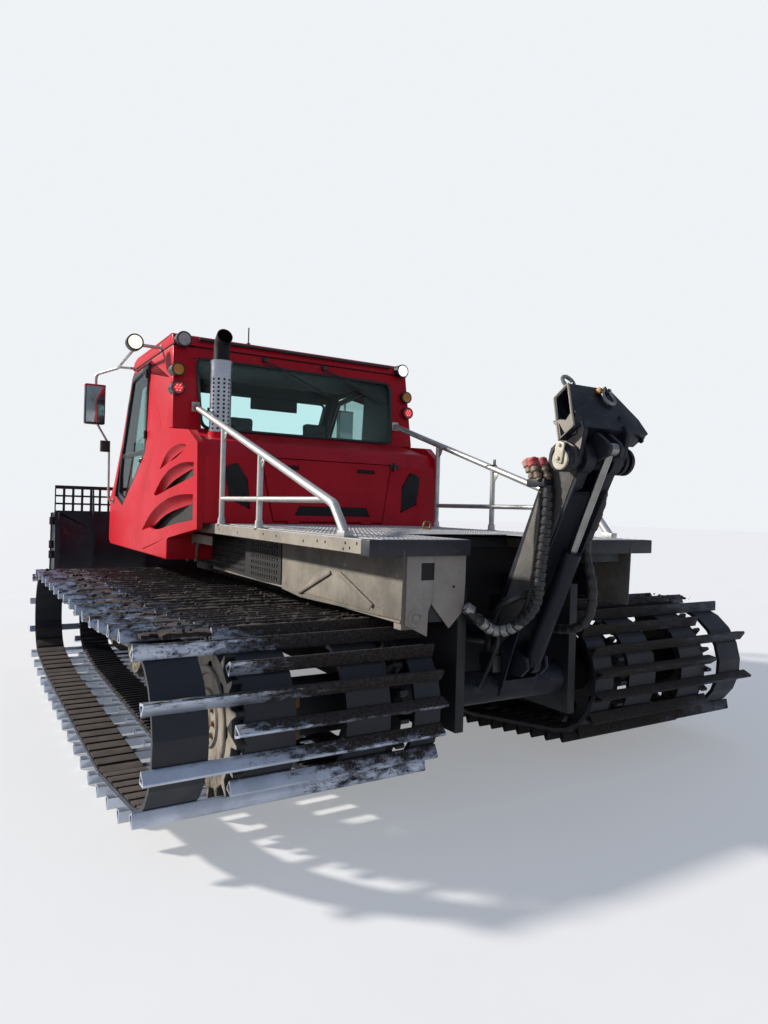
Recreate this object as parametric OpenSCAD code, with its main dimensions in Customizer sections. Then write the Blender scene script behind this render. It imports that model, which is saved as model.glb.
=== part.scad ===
// Wide-track snow groomer: flat rear deck, front blade and raised rear carrier.
// Sizes are millimetres. +X is the machine's left, -Y its front, +Z up.
// Places are written from the rear sprocket's axle (y = 0) and the ground (z = 0).
// placed() then moves every node so that the middle of the whole machine is at y = 0.

/* [Tracks] */
// Outer ends of the long track bars, from the machine's middle
track_half = 2100; // [2080:5:2300]
// Outer ends of the short track bars, from the middle
short_half = 1700; // [1660:5:1760]
// Inner ends of the track bars, from the middle
track_inner = 575; // [540:5:600]
// Height of a track bar
bar_height = 66; // [50:1:80]
// Width of a track bar where it sits on the belts
bar_base = 62; // [50:1:76]
// Wall of the hollow track bar
bar_wall = 6; // [4:0.5:9]
// Number of bars on a track, long and short in turn
bar_count = 76; // [74:2:78]
// Place of a long bar on the left sprocket, in degrees above its axle
bar_angle_left = 27; // [10:1:44]
// The same on the right sprocket
bar_angle_right = 31; // [10:1:44]
// Thickness of the rubber belts
belt_thick = 24; // [16:1:30]
// Outer radius of the belts round the sprocket and the idler
wrap_radius = 378; // [340:1:420]
// Height of the sprocket's axle
sprocket_z = 560; // [500:5:620]
// Height of the idler's axle
idler_z = 496; // [460:5:540]
// Distance from the sprocket's axle to the idler's axle
track_length = 4040; // [3800:10:4400]
// Radius of the road wheels
road_radius = 330; // [300:1:340]
// Width of the tyres
tyre_width = 236; // [180:2:250]
// Teeth on a sprocket disc
teeth = 17; // [16:1:18]

/* [Hull] */
// Half width of the hull between the tracks
hull_half = 450; // [400:5:500]
// Underside of the hull
hull_z0 = 400; // [360:5:440]
// Sheet thickness of the hull
hull_wall = 12; // [8:1:20]
// Half width of the deck
deck_half = 1040; // [960:5:1100]
// Top of the deck
deck_z = 1444; // [1400:2:1480]
// Thickness of the deck's plank
deck_thick = 44; // [30:1:60]
// Thickness of the tread plate that loads lie on
tread = 4; // [3:0.5:8]
// Rear edge of the deck
deck_rear = 380; // [330:5:400]
// Half width of the notch that the carrier swings in
notch_half = 425; // [400:5:460]
// Front end of the notch
notch_front = -300; // [-360:5:-260]

/* [Cab] */
// Half width of the body at its widest
body_half = 1240; // [1220:5:1270]
// How far the roof's sides stand in from the widest body
roof_in = 50; // [40:5:90]
// Top of the roof
roof_z = 3075; // [3040:5:3120]
// Thickness of the cab's walls
cab_wall = 45; // [30:1:60]
// Thickness of the window glass
glass = 8; // [6:1:12]

/* [Deck rails] */
// Radius of the rails' tube
rail_r = 26; // [18:1:30]
// Distance of the rails from the middle
rail_x = 1012; // [980:2:1014]

/* [Exhaust] */
// Radius of the exhaust pipe
pipe_r = 66; // [50:1:70]
// Radius of the perforated guard
guard_r = 88; // [82:1:96]

/* [Blade] */
// Half width of the blade without its wings
blade_half = 1730; // [1600:10:1800]
// Length of a folding wing
wing_len = 430; // [300:10:480]
// Height of the raised blade's cutting edge
blade_z0 = 430; // [380:5:500]
// Thickness of the blade's plate
blade_plate = 14; // [10:1:20]

/* [Rear carrier] */
// Half width of the carrier's arm
arm_half = 130; // [120:2:150]
// Radius of the tilt cylinder's barrel
barrel_r = 50; // [42:1:52]
// Radius of the tilt cylinder's rod
rod_r = 22; // [16:1:28]

/* [Hidden] */
$fn = 48;

front_end = -6325;
rear_end = 985;
origin_y = -(front_end + rear_end) / 2;
roof_half = body_half - roof_in;
cut_x = 1500; // far enough from the middle to cut through the whole body
cut_y = [-5300, -2000]; // the same from its front to its rear

module placed() translate([0, origin_y, 0]) children();
module both_sides() { children(); mirror([1, 0, 0]) children(); }
module right_side() mirror([1, 0, 0]) children();

// Extrudes an outline drawn in (y, z) from x0 to x1
module along_x(x0, x1) translate([x0, 0, 0]) rotate([90, 0, 90]) linear_extrude(x1 - x0) children();
// Extrudes an outline drawn in (x, z) from y0 to y1
module along_y(y0, y1) translate([0, y1, 0]) rotate([90, 0, 0]) linear_extrude(y1 - y0) children();
// Extrudes an outline drawn in (x, y) from z0 to z1
module upright(z0, z1) translate([0, 0, z0]) linear_extrude(z1 - z0) children();
// Round bar from point a to point b
module rod(a, b, r) {
    v = b - a;
    translate(a) rotate([0, acos(v[2] / norm(v)), atan2(v[1], v[0])]) cylinder(h = norm(v), r = r);
}
// Tube through a list of points, with a slightly thicker true elbow of radius "bend" at each inner point
elbow_lip = 3;
module bent(points, r, bend) {
    last = len(points) - 1;
    dirs = [for (i = [0 : last - 1]) (points[i + 1] - points[i]) / norm(points[i + 1] - points[i])];
    turns = [for (i = [1 : last - 1]) acos(dirs[i - 1] * dirs[i])];
    cuts = concat([0], [for (t = turns) bend * tan(t / 2) - elbow_lip], [0]);
    for (i = [0 : last - 1]) rod(points[i] + dirs[i] * cuts[i], points[i + 1] - dirs[i] * cuts[i + 1], r);
    if (last > 1) for (i = [1 : last - 1]) {
        a = dirs[i - 1];
        inward = (dirs[i] - a * cos(turns[i - 1])) / sin(turns[i - 1]);
        up = cross(-inward, a);
        c = points[i] - a * (cuts[i] + elbow_lip) + inward * bend;
        multmatrix([[-inward[0], a[0], up[0], c[0]], [-inward[1], a[1], up[1], c[1]],
            [-inward[2], a[2], up[2], c[2]], [0, 0, 0, 1]])
            rotate_extrude(angle = turns[i - 1]) translate([bend, 0]) circle(r + 1);
    }
}
// Cylinder along X, centred on (y, z), from x0 to x1
module drum(y, z, r, x0, x1) translate([x0, y, z]) rotate([0, 90, 0]) cylinder(h = x1 - x0, r = r);
module box(p, q) translate(p) cube(q - p);
function along(a, b, d) = a + (b - a) * d / norm(b - a);

// Hydraulic cylinders that swing in the (y, z) plane: base pin at a, rod eye at b
eye_half = 24;
pin_gap = 0.3;
module cyl_barrel(x, a, b, r, length, bore_r, bore_from, pin_r) difference() {
    union() {
        e = along(a, b, length);
        rod([x, a[0], a[1]], [x, e[0], e[1]], r);
        drum(a[0], a[1], r + 4, x - eye_half, x + eye_half);
    }
    s = along(a, b, bore_from);
    t = along(a, b, length + 1);
    rod([x, s[0], s[1]], [x, t[0], t[1]], bore_r + 0.5);
    drum(a[0], a[1], pin_r + pin_gap, x - r - 2, x + r + 2);
}
module cyl_rod(x, a, b, r, start) {
    s = along(a, b, start);
    rod([x, s[0], s[1]], [x, b[0], b[1]], r);
    drum(b[0], b[1], r + 12, x - eye_half, x + eye_half);
}

// Track loop. Angles are in the (y, z) plane, from +y towards +z.
belts = [[660, 160], [1010, 250], [1525, 250], [1935, 240]]; // centre from the middle, width
arc_steps = 10;
ground_rear = -800;
ground_front = -3400;
sag = [-1040, 866]; // lowest point of the top run behind the idler
function polar(c, r, a) = [c[0] + r * cos(a), c[1] + r * sin(a)];
function aim(c, p) = atan2(p[1] - c[1], p[0] - c[0]);
function tangent(c, r, p, side) = aim(c, p) + side * acos(r / norm(p - c));
function arc(c, r, a0, a1, n) = [for (i = [0 : n]) polar(c, r, a0 + (a1 - a0) * i / n)];
sprocket_c = [0, sprocket_z];
idler_c = [-track_length, idler_z];
// Closed line of the belts, "in" millimetres inside their outer face
function loop_line(in) = let (
    r = wrap_radius - in,
    top = sag - [0, in],
    g0 = [ground_rear, bar_height + in],
    g1 = [ground_front, bar_height + in])
    concat(
        arc(sprocket_c, r, tangent(sprocket_c, r, top, -1), tangent(sprocket_c, r, g0, 1), arc_steps),
        [g0, g1],
        arc(idler_c, r, tangent(idler_c, r, g1, -1), tangent(idler_c, r, top, 1) - 360, arc_steps),
        [top]);
outer_line = loop_line(0);
line_n = len(outer_line);
edge_len = [for (i = [0 : line_n - 1]) norm(outer_line[(i + 1) % line_n] - outer_line[i])];
edge_start = [for (i = 0, s = 0; i < line_n; s = s + edge_len[i], i = i + 1) s];
loop_len = edge_start[line_n - 1] + edge_len[line_n - 1];
bar_pitch = loop_len / bar_count;
function edge_at(s) =
    [for (i = [0 : line_n - 1]) if (s >= edge_start[i] && s < edge_start[i] + edge_len[i]) i][0];

// Distance along the loop of the point of the sprocket's wrap at an angle
function wrap_at(angle) = (aim(sprocket_c, outer_line[0]) - angle) / 180 * PI * wrap_radius;

bar_foot = 8; // height of the bar's upright edges
bar_crest = 7; // half width of its crest
bar_seat = 0.02; // keeps the feet of the bars just off the belts
module bar_profile() translate([0, bar_seat]) {
    half = bar_base / 2;
    top = bar_height - bar_seat;
    difference() {
        polygon([[-half, 0], [half, 0], [half, bar_foot], [bar_crest, top], [-bar_crest, top],
            [-half, bar_foot]]);
        polygon([[-half + 2 * bar_wall, bar_wall], [half - 2 * bar_wall, bar_wall], [0, top - 2 * bar_wall]]);
    }
}

module track_bars(angle) {
    for (k = [0 : bar_count - 1]) {
        s = (wrap_at(angle) + k * bar_pitch) % loop_len;
        i = edge_at(s);
        a = aim(outer_line[i], outer_line[(i + 1) % line_n]);
        p = outer_line[i] + (s - edge_start[i]) * [cos(a), sin(a)];
        along_x(track_inner, k % 2 == 0 ? track_half : short_half)
            translate(p) rotate(a) bar_profile();
    }
}

module track_belts() {
    for (b = belts) along_x(b[0] - b[1] / 2, b[0] + b[1] / 2) difference() {
        polygon(outer_line);
        polygon(loop_line(belt_thick));
    }
}

module bars_left() color("lightsteelblue") placed() track_bars(bar_angle_left);
module bars_right() color("lightsteelblue") placed() right_side() track_bars(bar_angle_right);
module belts_left() color([0.12, 0.12, 0.12]) placed() track_belts();
module belts_right() color([0.12, 0.12, 0.12]) placed() right_side() track_belts();

// Wheels. The tyres run on the bars in the gap between the second and the third belt.
wheel_x = (belts[1][0] + belts[1][1] / 2 + belts[2][0] - belts[2][1] / 2) / 2;
wheel_ys = [-860, -1600, -2340, -3080];
road_z = bar_height + road_radius;
arc_share = cos(105 / arc_steps);
idler_radius = wrap_radius * arc_share - 1;
rim_share = 0.62;
axle_r = 45;

module tyre(r) rotate([0, 90, 0]) rotate_extrude() {
    w = tyre_width / 2;
    c = r * 0.12;
    polygon([[r * rim_share, -w + c], [r * rim_share + c, -w], [r - c, -w], [r, -w + c],
        [r, w - c], [r - c, w], [r * rim_share + c, w], [r * rim_share, w - c]]);
}

module rim(r) rotate([0, 90, 0]) rotate_extrude() {
    w = tyre_width * 0.3;
    polygon([[axle_r - 5, -w], [110, -w], [130, 0], [r * rim_share - 12, 0], [r * rim_share - 12, -w],
        [r * rim_share, -w], [r * rim_share, w], [r * rim_share - 12, w], [r * rim_share - 12, 14],
        [120, 14], [100, w * 0.6], [axle_r - 5, w * 0.6]]);
}

module at_wheels() {
    for (y = wheel_ys) translate([wheel_x, y, road_z]) { $r = road_radius; children(); }
    translate([wheel_x, -track_length, idler_z]) { $r = idler_radius; children(); }
}

module side_tyres() at_wheels() tyre($r);
module side_wheels() {
    at_wheels() rim($r);
    for (y = wheel_ys) drum(y, road_z, axle_r, hull_half, wheel_x + 50);
    drum(-track_length, idler_z, axle_r, hull_half, wheel_x + 50);
}
module tyres() color([0.1, 0.1, 0.1]) placed() both_sides() side_tyres();
module wheels() color("dimgray") placed() both_sides() side_wheels();

// Sprocket: two toothed discs on one drum, in the gaps beside the second and third belts
disc_xs = [(belts[0][0] + belts[0][1] / 2 + belts[1][0] - belts[1][1] / 2) / 2,
    (belts[2][0] + belts[2][1] / 2 + belts[3][0] - belts[3][1] / 2) / 2];
disc_thick = 50;
tooth_root = wrap_radius - 48;
tooth_tip = wrap_radius + 16;
drive_r = 150;
drive_wall = 20;
pitch_turn = bar_pitch / wrap_radius * 180 / PI;
web_x = wheel_x - 60;

module toothed_disc(phase) rotate([90, 0, 90]) linear_extrude(disc_thick, center = true) difference() {
    // Each row: share of a tooth pitch from the tooth's middle, radius
    polygon([for (i = [0 : teeth - 1]) for (t = [[-0.2, tooth_root], [-0.07, tooth_tip],
        [0.07, tooth_tip], [0.2, tooth_root]])
        polar([0, 0], t[1], phase + (i + t[0]) * 360 / teeth)]);
    circle(drive_r - drive_wall / 2);
    for (i = [0 : 7]) rotate(i * 45) translate([240, 0]) circle(38, $fn = 24);
}

module sprocket(phase) {
    for (x = disc_xs) translate([x, 0, sprocket_z]) toothed_disc(phase);
    difference() {
        drum(0, sprocket_z, drive_r, disc_xs[0] - disc_thick / 2, disc_xs[1] + disc_thick / 2);
        drum(0, sprocket_z, drive_r - drive_wall, disc_xs[0] - disc_thick, web_x);
        drum(0, sprocket_z, drive_r - drive_wall, wheel_x + 60, disc_xs[1] + disc_thick);
    }
    drum(0, sprocket_z, 80, wheel_x, disc_xs[1] - 60);
}
module sprockets() color("beige") placed() {
    sprocket(bar_angle_left - pitch_turn / 2);
    right_side() sprocket(bar_angle_right - pitch_turn / 2);
}

module final_drives() color("saddlebrown") placed() both_sides() {
    drum(0, sprocket_z, drive_r - drive_wall - 6, hull_half, web_x);
    drum(0, sprocket_z, drive_r + 30, hull_half, hull_half + 60);
}

// Hull: a tub between the tracks that widens above them, with a bay for the carrier at its rear
hull_y0 = -4420;
hull_y1 = 330;
bay_y0 = -420;
cheek = 60;
upper_half = 840;
upper_z0 = 1040;
upper_y0 = -2640;
upper_y1 = notch_front - 10;
cab_z0 = 1120;
deck_under = deck_z - deck_thick;
inner = hull_half - cheek;
pin_r = 20;
arm_pin = [220, 600]; // y, z
arm_pin_r = 39;
lift_base = [-330, 820]; // y, z of the arm's lift cylinder at the hull
blade_hinge = [-4510, 470];
blade_hinge_r = 30;
frame_x = 300; // middle of each blade arm
blade_lift_base = [-4520, 980];
blade_lift_x = 200;
blade_lift_r = 42;
lug_thick = 24;
// Two lugs beside an eye at x, with the pin through it
module lug_pair(x, half, pin, points) {
    for (s = [-1, 1]) along_x(x + s * (half + 4 + lug_thick / 2) - lug_thick / 2,
        x + s * (half + 4 + lug_thick / 2) + lug_thick / 2)
        polygon(points);
    drum(pin[0], pin[1], pin[2], x - half - 5, x + half + 5);
}
module hull() color("tan") placed() {
    difference() {
        union() {
            box([-hull_half, hull_y0, hull_z0], [hull_half, hull_y1, upper_z0]);
            box([-upper_half, upper_y0, upper_z0], [upper_half, upper_y1, deck_under]);
        }
        box([-hull_half + hull_wall, hull_y0 + hull_wall, hull_z0 + hull_wall],
            [hull_half - hull_wall, bay_y0 - hull_wall, upper_z0 + 1]);
        box([-upper_half + hull_wall, upper_y0 + hull_wall, upper_z0 + hull_wall],
            [upper_half - hull_wall, upper_y1 - hull_wall, deck_z]);
        box([-hull_half + hull_wall, upper_y0 + 40, upper_z0 - 1],
            [hull_half - hull_wall, bay_y0 - 300, upper_z0 + hull_wall + 1]);
        // The carrier's arm hangs between two cheeks behind the hull
        box([-inner, bay_y0, hull_z0 - 1], [inner, hull_y1 + 1, upper_z0]);
    }
    drum(arm_pin[0], arm_pin[1], arm_pin_r, -inner - 1, inner + 1);
    drum(lift_base[0], lift_base[1], pin_r, -inner - 1, inner + 1);
    both_sides() {
        drum(arm_pin[0], arm_pin[1], 95, inner - 8, inner + 1);
        lug_pair(frame_x, 45, [blade_hinge[0], blade_hinge[1], blade_hinge_r - pin_gap],
            [[hull_y0 + 2, 400], [hull_y0 + 2, 560], [blade_hinge[0] - 30, 530],
                [blade_hinge[0] - 60, 470], [blade_hinge[0] - 30, 410]]);
        lug_pair(blade_lift_x, blade_lift_r, [blade_lift_base[0], blade_lift_base[1], pin_r],
            [[hull_y0 + 2, 910], [hull_y0 + 2, 1040], [blade_lift_base[0] - 25, 1025],
                [blade_lift_base[0] - 45, 980], [blade_lift_base[0] - 25, 940]]);
    }
    // Beams that the cab stands on
    for (y = [[-4400, -4240], [-3500, -3380], [-2880, -2740]])
        box([-upper_half, y[0], upper_z0], [upper_half, y[1], cab_z0]);
}

module engine_block() color("dimgray") placed() box([-380, -2500, hull_z0 + hull_wall], [380, -1500, 1180]);

// Deck: a plank with side plates and a notch, open down to the carrier
module deck_outline(g, half = deck_half, front = upper_y0)
    polygon([[-half + g, front + g], [half - g, front + g],
    [half - g, deck_rear - g], [notch_half + g, deck_rear - g], [notch_half + g, notch_front - g],
    [-notch_half - g, notch_front - g], [-notch_half - g, deck_rear - g], [-half + g, deck_rear - g]]);
deck_plate = 10;
skirt = 76;
tread_half = rail_x - 38;
tread_front = -2050;
module deck() color("gainsboro") placed() {
    upright(deck_under, deck_z) deck_outline(0);
    upright(deck_z - 1, deck_z + tread) deck_outline(4, tread_half, tread_front);
    upright(deck_z - skirt, deck_z) difference() {
        deck_outline(0);
        deck_outline(deck_plate);
        translate([-upper_half - 1, upper_y0 - 1]) square([2 * upper_half + 2, 40]);
        translate([-upper_half - 1, upper_y1 - 20]) square([2 * upper_half + 2, 40]);
    }
}

// Under the deck: side plates, posts and cross beams at its rear corners
shelf_y = [deck_rear - 90, 100]; // rear ends of the shelves, left and right
bracket_y = [320, 360];
module deck_supports() color("tan") placed() {
    for (side = [0, 1]) mirror([side, 0, 0]) {
        box([upper_half - 8, upper_y1, 1020], [upper_half, side == 0 ? deck_rear - 20 : shelf_y[1],
            deck_under]);
        box([inner, upper_y1, upper_z0], [upper_half, shelf_y[side], upper_z0 + 12]);
        box([inner, upper_y1, upper_z0], [hull_half, hull_y1, 1180]);
    }
    // Left: creased plate and corner post
    box([hull_half, deck_rear - 60, 1010], [upper_half - 180, deck_rear - 48, deck_under]);
    box([upper_half - 130, deck_rear - 90, 985], [upper_half - 8, deck_rear - 20, deck_under]);
    // Right: only a bracket below the deck's edge
    box([-770, bracket_y[0], 1310], [-hull_half, bracket_y[1], deck_under]);
}

// Deck rails
rail_z0 = 2430;
rail_y0 = -2700;
rail_bend = [-70, 1620];
rail_foot = 70;
posts = [-1940, -1160]; // y of the upright posts
lower_rail_z = 1640;
function rail_at(y) = rail_z0 + (y - rail_y0) * (rail_bend[1] - rail_z0) / (rail_bend[0] - rail_y0);
module rail() {
    bent([[rail_x, rail_y0, rail_z0], [rail_x, rail_bend[0], rail_bend[1]],
        [rail_x, rail_foot, deck_z + 20]], rail_r, 90);
    box([rail_x - 28, rail_foot - 40, deck_z], [rail_x + 27, rail_foot + 40, deck_z + 34]);
    for (y = posts) rod([rail_x, y, deck_z], [rail_x, y, rail_at(y)], rail_r * 0.8);
    rod([rail_x, posts[0], lower_rail_z], [rail_x, rail_bend[0] - 62, lower_rail_z], rail_r * 0.7);
    box([rail_x - 35, rail_y0 - 9, rail_z0 - 42], [rail_x + 35, rail_y0 + 8, rail_z0 + 40]);
}
module deck_rails() color("silver") placed() both_sides() rail();

// Cab. Side outline: y, z, then the inward direction of the wall at that corner.
cab_side = [
    [-2660, cab_z0, -1, 1], [-2680, 2200, -1, 0], [-2800, 2960, -1, 0],
    [-4290, 2960, 1, 0], [-4400, 2900, 1, 0], [-5020, 1780, 1, 0], [-5180, 1640, 1, -0.3],
    [-5200, 1160, 1, 1], [-5120, cab_z0, 1, 1]];
function inset(rows, w) = [for (p = rows) [p[0] + w * p[2], p[1] + w * p[3]]];
waist_z = 1700;
sill_z = 2200;
eaves_z = 2960;
sill_half = roof_half + 20;
// Cross outline of the cab, g inside its skin: sides lean in above the waist
module cab_cross(g) polygon([[-body_half + g, 1000], [body_half - g, 1000], [body_half - g, waist_z],
    [sill_half - g, sill_z], [roof_half - g, eaves_z], [roof_half - g, eaves_z + 40],
        [-roof_half + g, eaves_z + 40],
    [-roof_half + g, eaves_z], [-sill_half + g, sill_z], [-body_half + g, waist_z]]);
module cab_volume(g) intersection() {
    along_x(-body_half, body_half) polygon(inset(cab_side, g));
    along_y(cut_y[0], cut_y[1]) cab_cross(g);
}
door_outline = [[-3600, 2930], [-4270, 2880], [-4780, 2070], [-4890, 1660], [-4520, 1560], [-4060, 1800],
    [-3640, 2080]];
door_gap = 8;
door_rim = 60;
transom = [2060, 2110];
function sum(v, i = 0) = i < len(v) ? v[i] + sum(v, i + 1) : 0;
function middle(points) = [for (k = [0, 1]) sum([for (p = points) p[k]]) / len(points)];
// The outline drawn in by g towards its middle
function drawn_in(points, g) = let (m = middle(points)) [for (p = points) p + g * (m - p) / norm(m - p)];
glass_set = 18; // how far the panes sit inside the skin
// Each window: half widths at its lower and upper edge, heights of the two
rear_window = [body_half - 280, body_half - 250, 2250, 2860];
windscreen = [roof_half - 130, roof_half - 110, 1830, 2840];
module opening(w) polygon([[-w[0], w[2]], [w[0], w[2]], [w[1], w[3]], [-w[1], w[3]]]);
module window_openings() {
    along_y(-3000, cut_y[1]) opening(rear_window);
    along_y(cut_y[0], -4360) opening(windscreen);
}
// Side outline and slots of the swelling intakes behind the doors
intake_side = [[-2980, 2225], [-3330, 1880], [-3780, 1290], [-3570, 1150], [-2580, 1320], [-2100, 1400],
    [-2130, 2080], [-2300, 2190], [-2770, 2235]];
intake_x = body_half - 130;
module cab_body() color([0.8, 0.05, 0.08]) placed() difference() {
    cab_volume(0);
    difference() {
        cab_volume(cab_wall);
        box([-cut_x, -2700, 1000], [cut_x, cut_y[1], sill_z - 10]);
    }
    along_x(-cut_x, cut_x) polygon(drawn_in(door_outline, -door_gap));
    window_openings();
    both_sides() along_x(intake_x - 0.5, cut_x) polygon(drawn_in(intake_side, -1));
    lamp_sockets();
}

module roof() color([0.75, 0.05, 0.08]) placed() difference() {
    along_x(-roof_half, roof_half)
        polygon([[-2790, 2965], [-2840, roof_z - 20], [-2880, roof_z], [-4200, roof_z],
            [-4330, roof_z - 30], [-4400, 2965]]);
    lamp_sockets();
}

module glass_fixed() color([0.5, 0.7, 0.7, 0.5]) placed() intersection() {
    difference() {
        cab_volume(glass_set);
        cab_volume(glass_set + glass);
    }
    window_openings();
}

hinge_y = -3610;
door_x = sill_half;
hinge_zs = [sill_z, 2780];
module door() {
    difference() {
        along_x(door_x - 34, door_x + 4) polygon(door_outline);
        along_x(door_x - 60, door_x + 60) polygon(drawn_in(door_outline, door_rim));
    }
    intersection() {
        along_x(door_x - 30, door_x - 3) polygon(drawn_in(door_outline, door_rim - 20));
        box([door_x - 90, -6000, transom[0]], [door_x + 60, -3000, transom[1]]);
    }
    for (z = hinge_zs) {
        translate([door_x + 16, hinge_y, z]) cylinder(h = 80, r = 12);
        box([door_x, hinge_y - 40, z + 10], [door_x + 16, hinge_y, z + 70]);
    }
}
module door_glass() difference() {
    along_x(door_x - 12 - glass, door_x - 12) polygon(drawn_in(door_outline, door_rim));
    box([door_x - 90, -6000, transom[0]], [door_x + 60, -3000, transom[1]]);
}
module door_left() color([0.1, 0.1, 0.1]) placed() door();
module door_right() color([0.1, 0.1, 0.1]) placed() right_side() door();
module door_glass_left() color([0.5, 0.7, 0.7, 0.5]) placed() door_glass();
module door_glass_right() color([0.5, 0.7, 0.7, 0.5]) placed() right_side() door_glass();

// Inside the cab: floor, dashboard, steering wheel and the console beside the driver
floor_z = [cab_z0 + cab_wall, 1230];
wheel_hub = [380, -4350, 1868];
module cab_interior() color([0.2, 0.2, 0.2]) placed() {
    box([-body_half + 140, -4900, floor_z[0]], [body_half - 140, -2720, floor_z[1]]);
    along_x(-body_half + 340, body_half - 340) polygon([[-4560, floor_z[1] - 1], [-4900, floor_z[1] - 1],
        [-4900, 1700], [-4700, 1860], [-4560, 1800]]);
    rod([wheel_hub[0], -4580, 1690], [wheel_hub[0], wheel_hub[1] - 10, wheel_hub[2] - 8], 22);
    translate(wheel_hub) rotate([-52, 0, 0]) rotate_extrude() translate([170, 0]) circle(16, $fn = 24);
    translate(wheel_hub) rotate([-52, 0, 0]) for (a = [30, 150, 270]) rotate(a) translate([0, -14, -6])
        cube([166, 28, 12]);
    box([640, -3900, floor_z[1] - 1], [760, -3400, 1800]);
}

// One seat: half width, then y and z of its two corners
seat_parts = [[200, -3820, 1230, -3420, 1490], [250, -3900, 1480, -3380, 1610]];
module seat(x) {
    for (b = seat_parts) box([x - b[0], b[1], b[2]], [x + b[0], b[3], b[4]]);
    along_x(x - 250, x + 250) polygon([[-3400, 1610], [-3500, 1610], [-3400, 2260], [-3290, 2260],
        [-3280, 1480], [-3400, 1480]]);
    along_x(x - 130, x + 130) polygon([[-3395, 2250], [-3390, 2460], [-3290, 2460], [-3290, 2250]]);
}
module seats() color([0.15, 0.15, 0.17]) placed() { seat(380); seat(-420); }

// Rear bodywork behind the cab
flap_top = 620;
flap_low = 520;
flap_z = [1470, 1990];
hood_side = [[-2090, deck_z], [-2130, 1980], [-2230, 2120], [upper_y0, 2215], [upper_y0, deck_z]];
hood_sheet = 28;
exhaust_c = [body_half - 360, -2440]; // x, y
boss_z = [2130, 2196];
flap_pin = [-2085, 1462]; // y, z of the flap's hinge
flap_pin_r = 12;
flap_knuckle = [300, 400]; // its two ends, from the middle
module vent_shape() translate([intake_x - 390, 0]) polygon([[0, 1560], [180, 1640], [210, 1900],
    [110, 1935], [20, 1800]]);
module hood() color([0.7, 0.04, 0.08]) placed() difference() {
    union() {
        difference() {
            along_x(-intake_x, intake_x) polygon(hood_side);
            along_x(-intake_x + hood_sheet, intake_x - hood_sheet)
                polygon([for (p = hood_side) [p[0] - (p[0] > -2600 ? 30 : -30),
                    p[1] + (p[1] < 1500 ? -10 : -hood_sheet)]]);
        }
        translate([exhaust_c[0], exhaust_c[1], boss_z[0]])
            cylinder(h = boss_z[1] - boss_z[0], r = guard_r + 10);
    }
    along_y(-2300, -2000) polygon([[-flap_low - 8, flap_z[0] - 8], [flap_low + 8, flap_z[0] - 8],
        [flap_top + 8, flap_z[1] + 8], [-flap_top - 8, flap_z[1] + 8]]);
    // Fin-shaped vents beside the flap
    along_y(-2300, -2000) { vent_shape(); mirror([1, 0]) vent_shape(); }
    translate([exhaust_c[0], exhaust_c[1], 2000]) cylinder(h = 300, r = pipe_r + 1);
    // Room for the flap's hinge
    both_sides() box([flap_knuckle[0] - 5, flap_pin[0] - 40, deck_z - 1],
        [flap_knuckle[1] + 5, flap_pin[0] + 25, flap_z[0]]);
}

module hood_flap() color([0.72, 0.04, 0.08]) placed() {
    difference() {
        intersection() {
            along_y(-2300, -2000)
                polygon([[-flap_low, flap_z[0]], [flap_low, flap_z[0]], [flap_top, flap_z[1]],
                    [-flap_top, flap_z[1]]]);
            along_x(-flap_top, flap_top) polygon([[-2088, 1440], [-2129, 2000], [-2159, 2000],
                [-2118, 1440]]);
        }
        along_y(-2300, -2000) for (x = [-360, 380]) translate([x - 90, 1905]) square([180, 34]);
        along_y(-2300, -2000) polygon([[-400, 1520], [330, 1520], [290, 1600], [-360, 1600]]);
    }
    both_sides() drum(flap_pin[0], flap_pin[1], flap_pin_r, flap_knuckle[0], flap_knuckle[1]);
}

// Each slot: its front tip, then its corners round to the tip again
slots = [
    [[-2990, 1888], [-2520, 2085], [-2380, 2070], [-2500, 2000]],
    [[-3170, 1668], [-2560, 1885], [-2170, 1925], [-2170, 1830], [-2700, 1760]],
    [[-3330, 1400], [-2800, 1600], [-2230, 1660], [-2180, 1500], [-2800, 1440], [-3200, 1370]]];
// Plan of the swell, x and y, drawn in by g
function swell(g) = [[intake_x + (g > 0 ? 12 : 0), -3800], [body_half + 4 - g, -3800],
    [body_half + 4 - g, -3100],
    [body_half - 10 - g, -2700], [body_half - 50 - g, -2350], [intake_x + 44 - g, -2100],
        [intake_x + (g > 0 ? 12 : 0), -2100]];
module intake() difference() {
    intersection() {
        along_x(intake_x, cut_x) polygon(intake_side);
        upright(1000, 2400) polygon(swell(0));
    }
    intersection() {
        along_x(intake_x, cut_x) polygon(drawn_in(intake_side, 50));
        upright(1000, 2400) polygon(swell(28));
    }
    along_x(intake_x + 16, cut_x) for (s = slots) polygon(s);
}
module side_intakes() color([0.85, 0.08, 0.1]) placed() both_sides() intake();

// Exhaust: pipe with a rearward elbow inside a perforated guard
guard_z = [boss_z[1], 2790];
elbow_r = 110;
pipe_z = [2080, 2890];
module exhaust_pipe() color("gray") placed() translate([exhaust_c[0], exhaust_c[1], 0]) {
    difference() {
        union() {
            translate([0, 0, pipe_z[0]]) cylinder(h = pipe_z[1] - pipe_z[0], r = pipe_r);
            translate([0, elbow_r, pipe_z[1]]) rotate([90, 0, -90]) rotate_extrude(angle = 70)
                translate([elbow_r, 0]) circle(pipe_r);
            translate([0, 0, boss_z[1]]) cylinder(h = 8, r = guard_r - 8);
        }
        translate([0, 0, guard_z[0] + 50]) cylinder(h = pipe_z[1] - guard_z[0] - 49.9, r = pipe_r - 5);
        translate([0, elbow_r, pipe_z[1]]) rotate([90, 0, -90]) rotate_extrude(angle = 70)
            translate([elbow_r, 0]) circle(pipe_r - 5);
    }
}
hole_rows = 13;
hole_pitch = 34;
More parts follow.
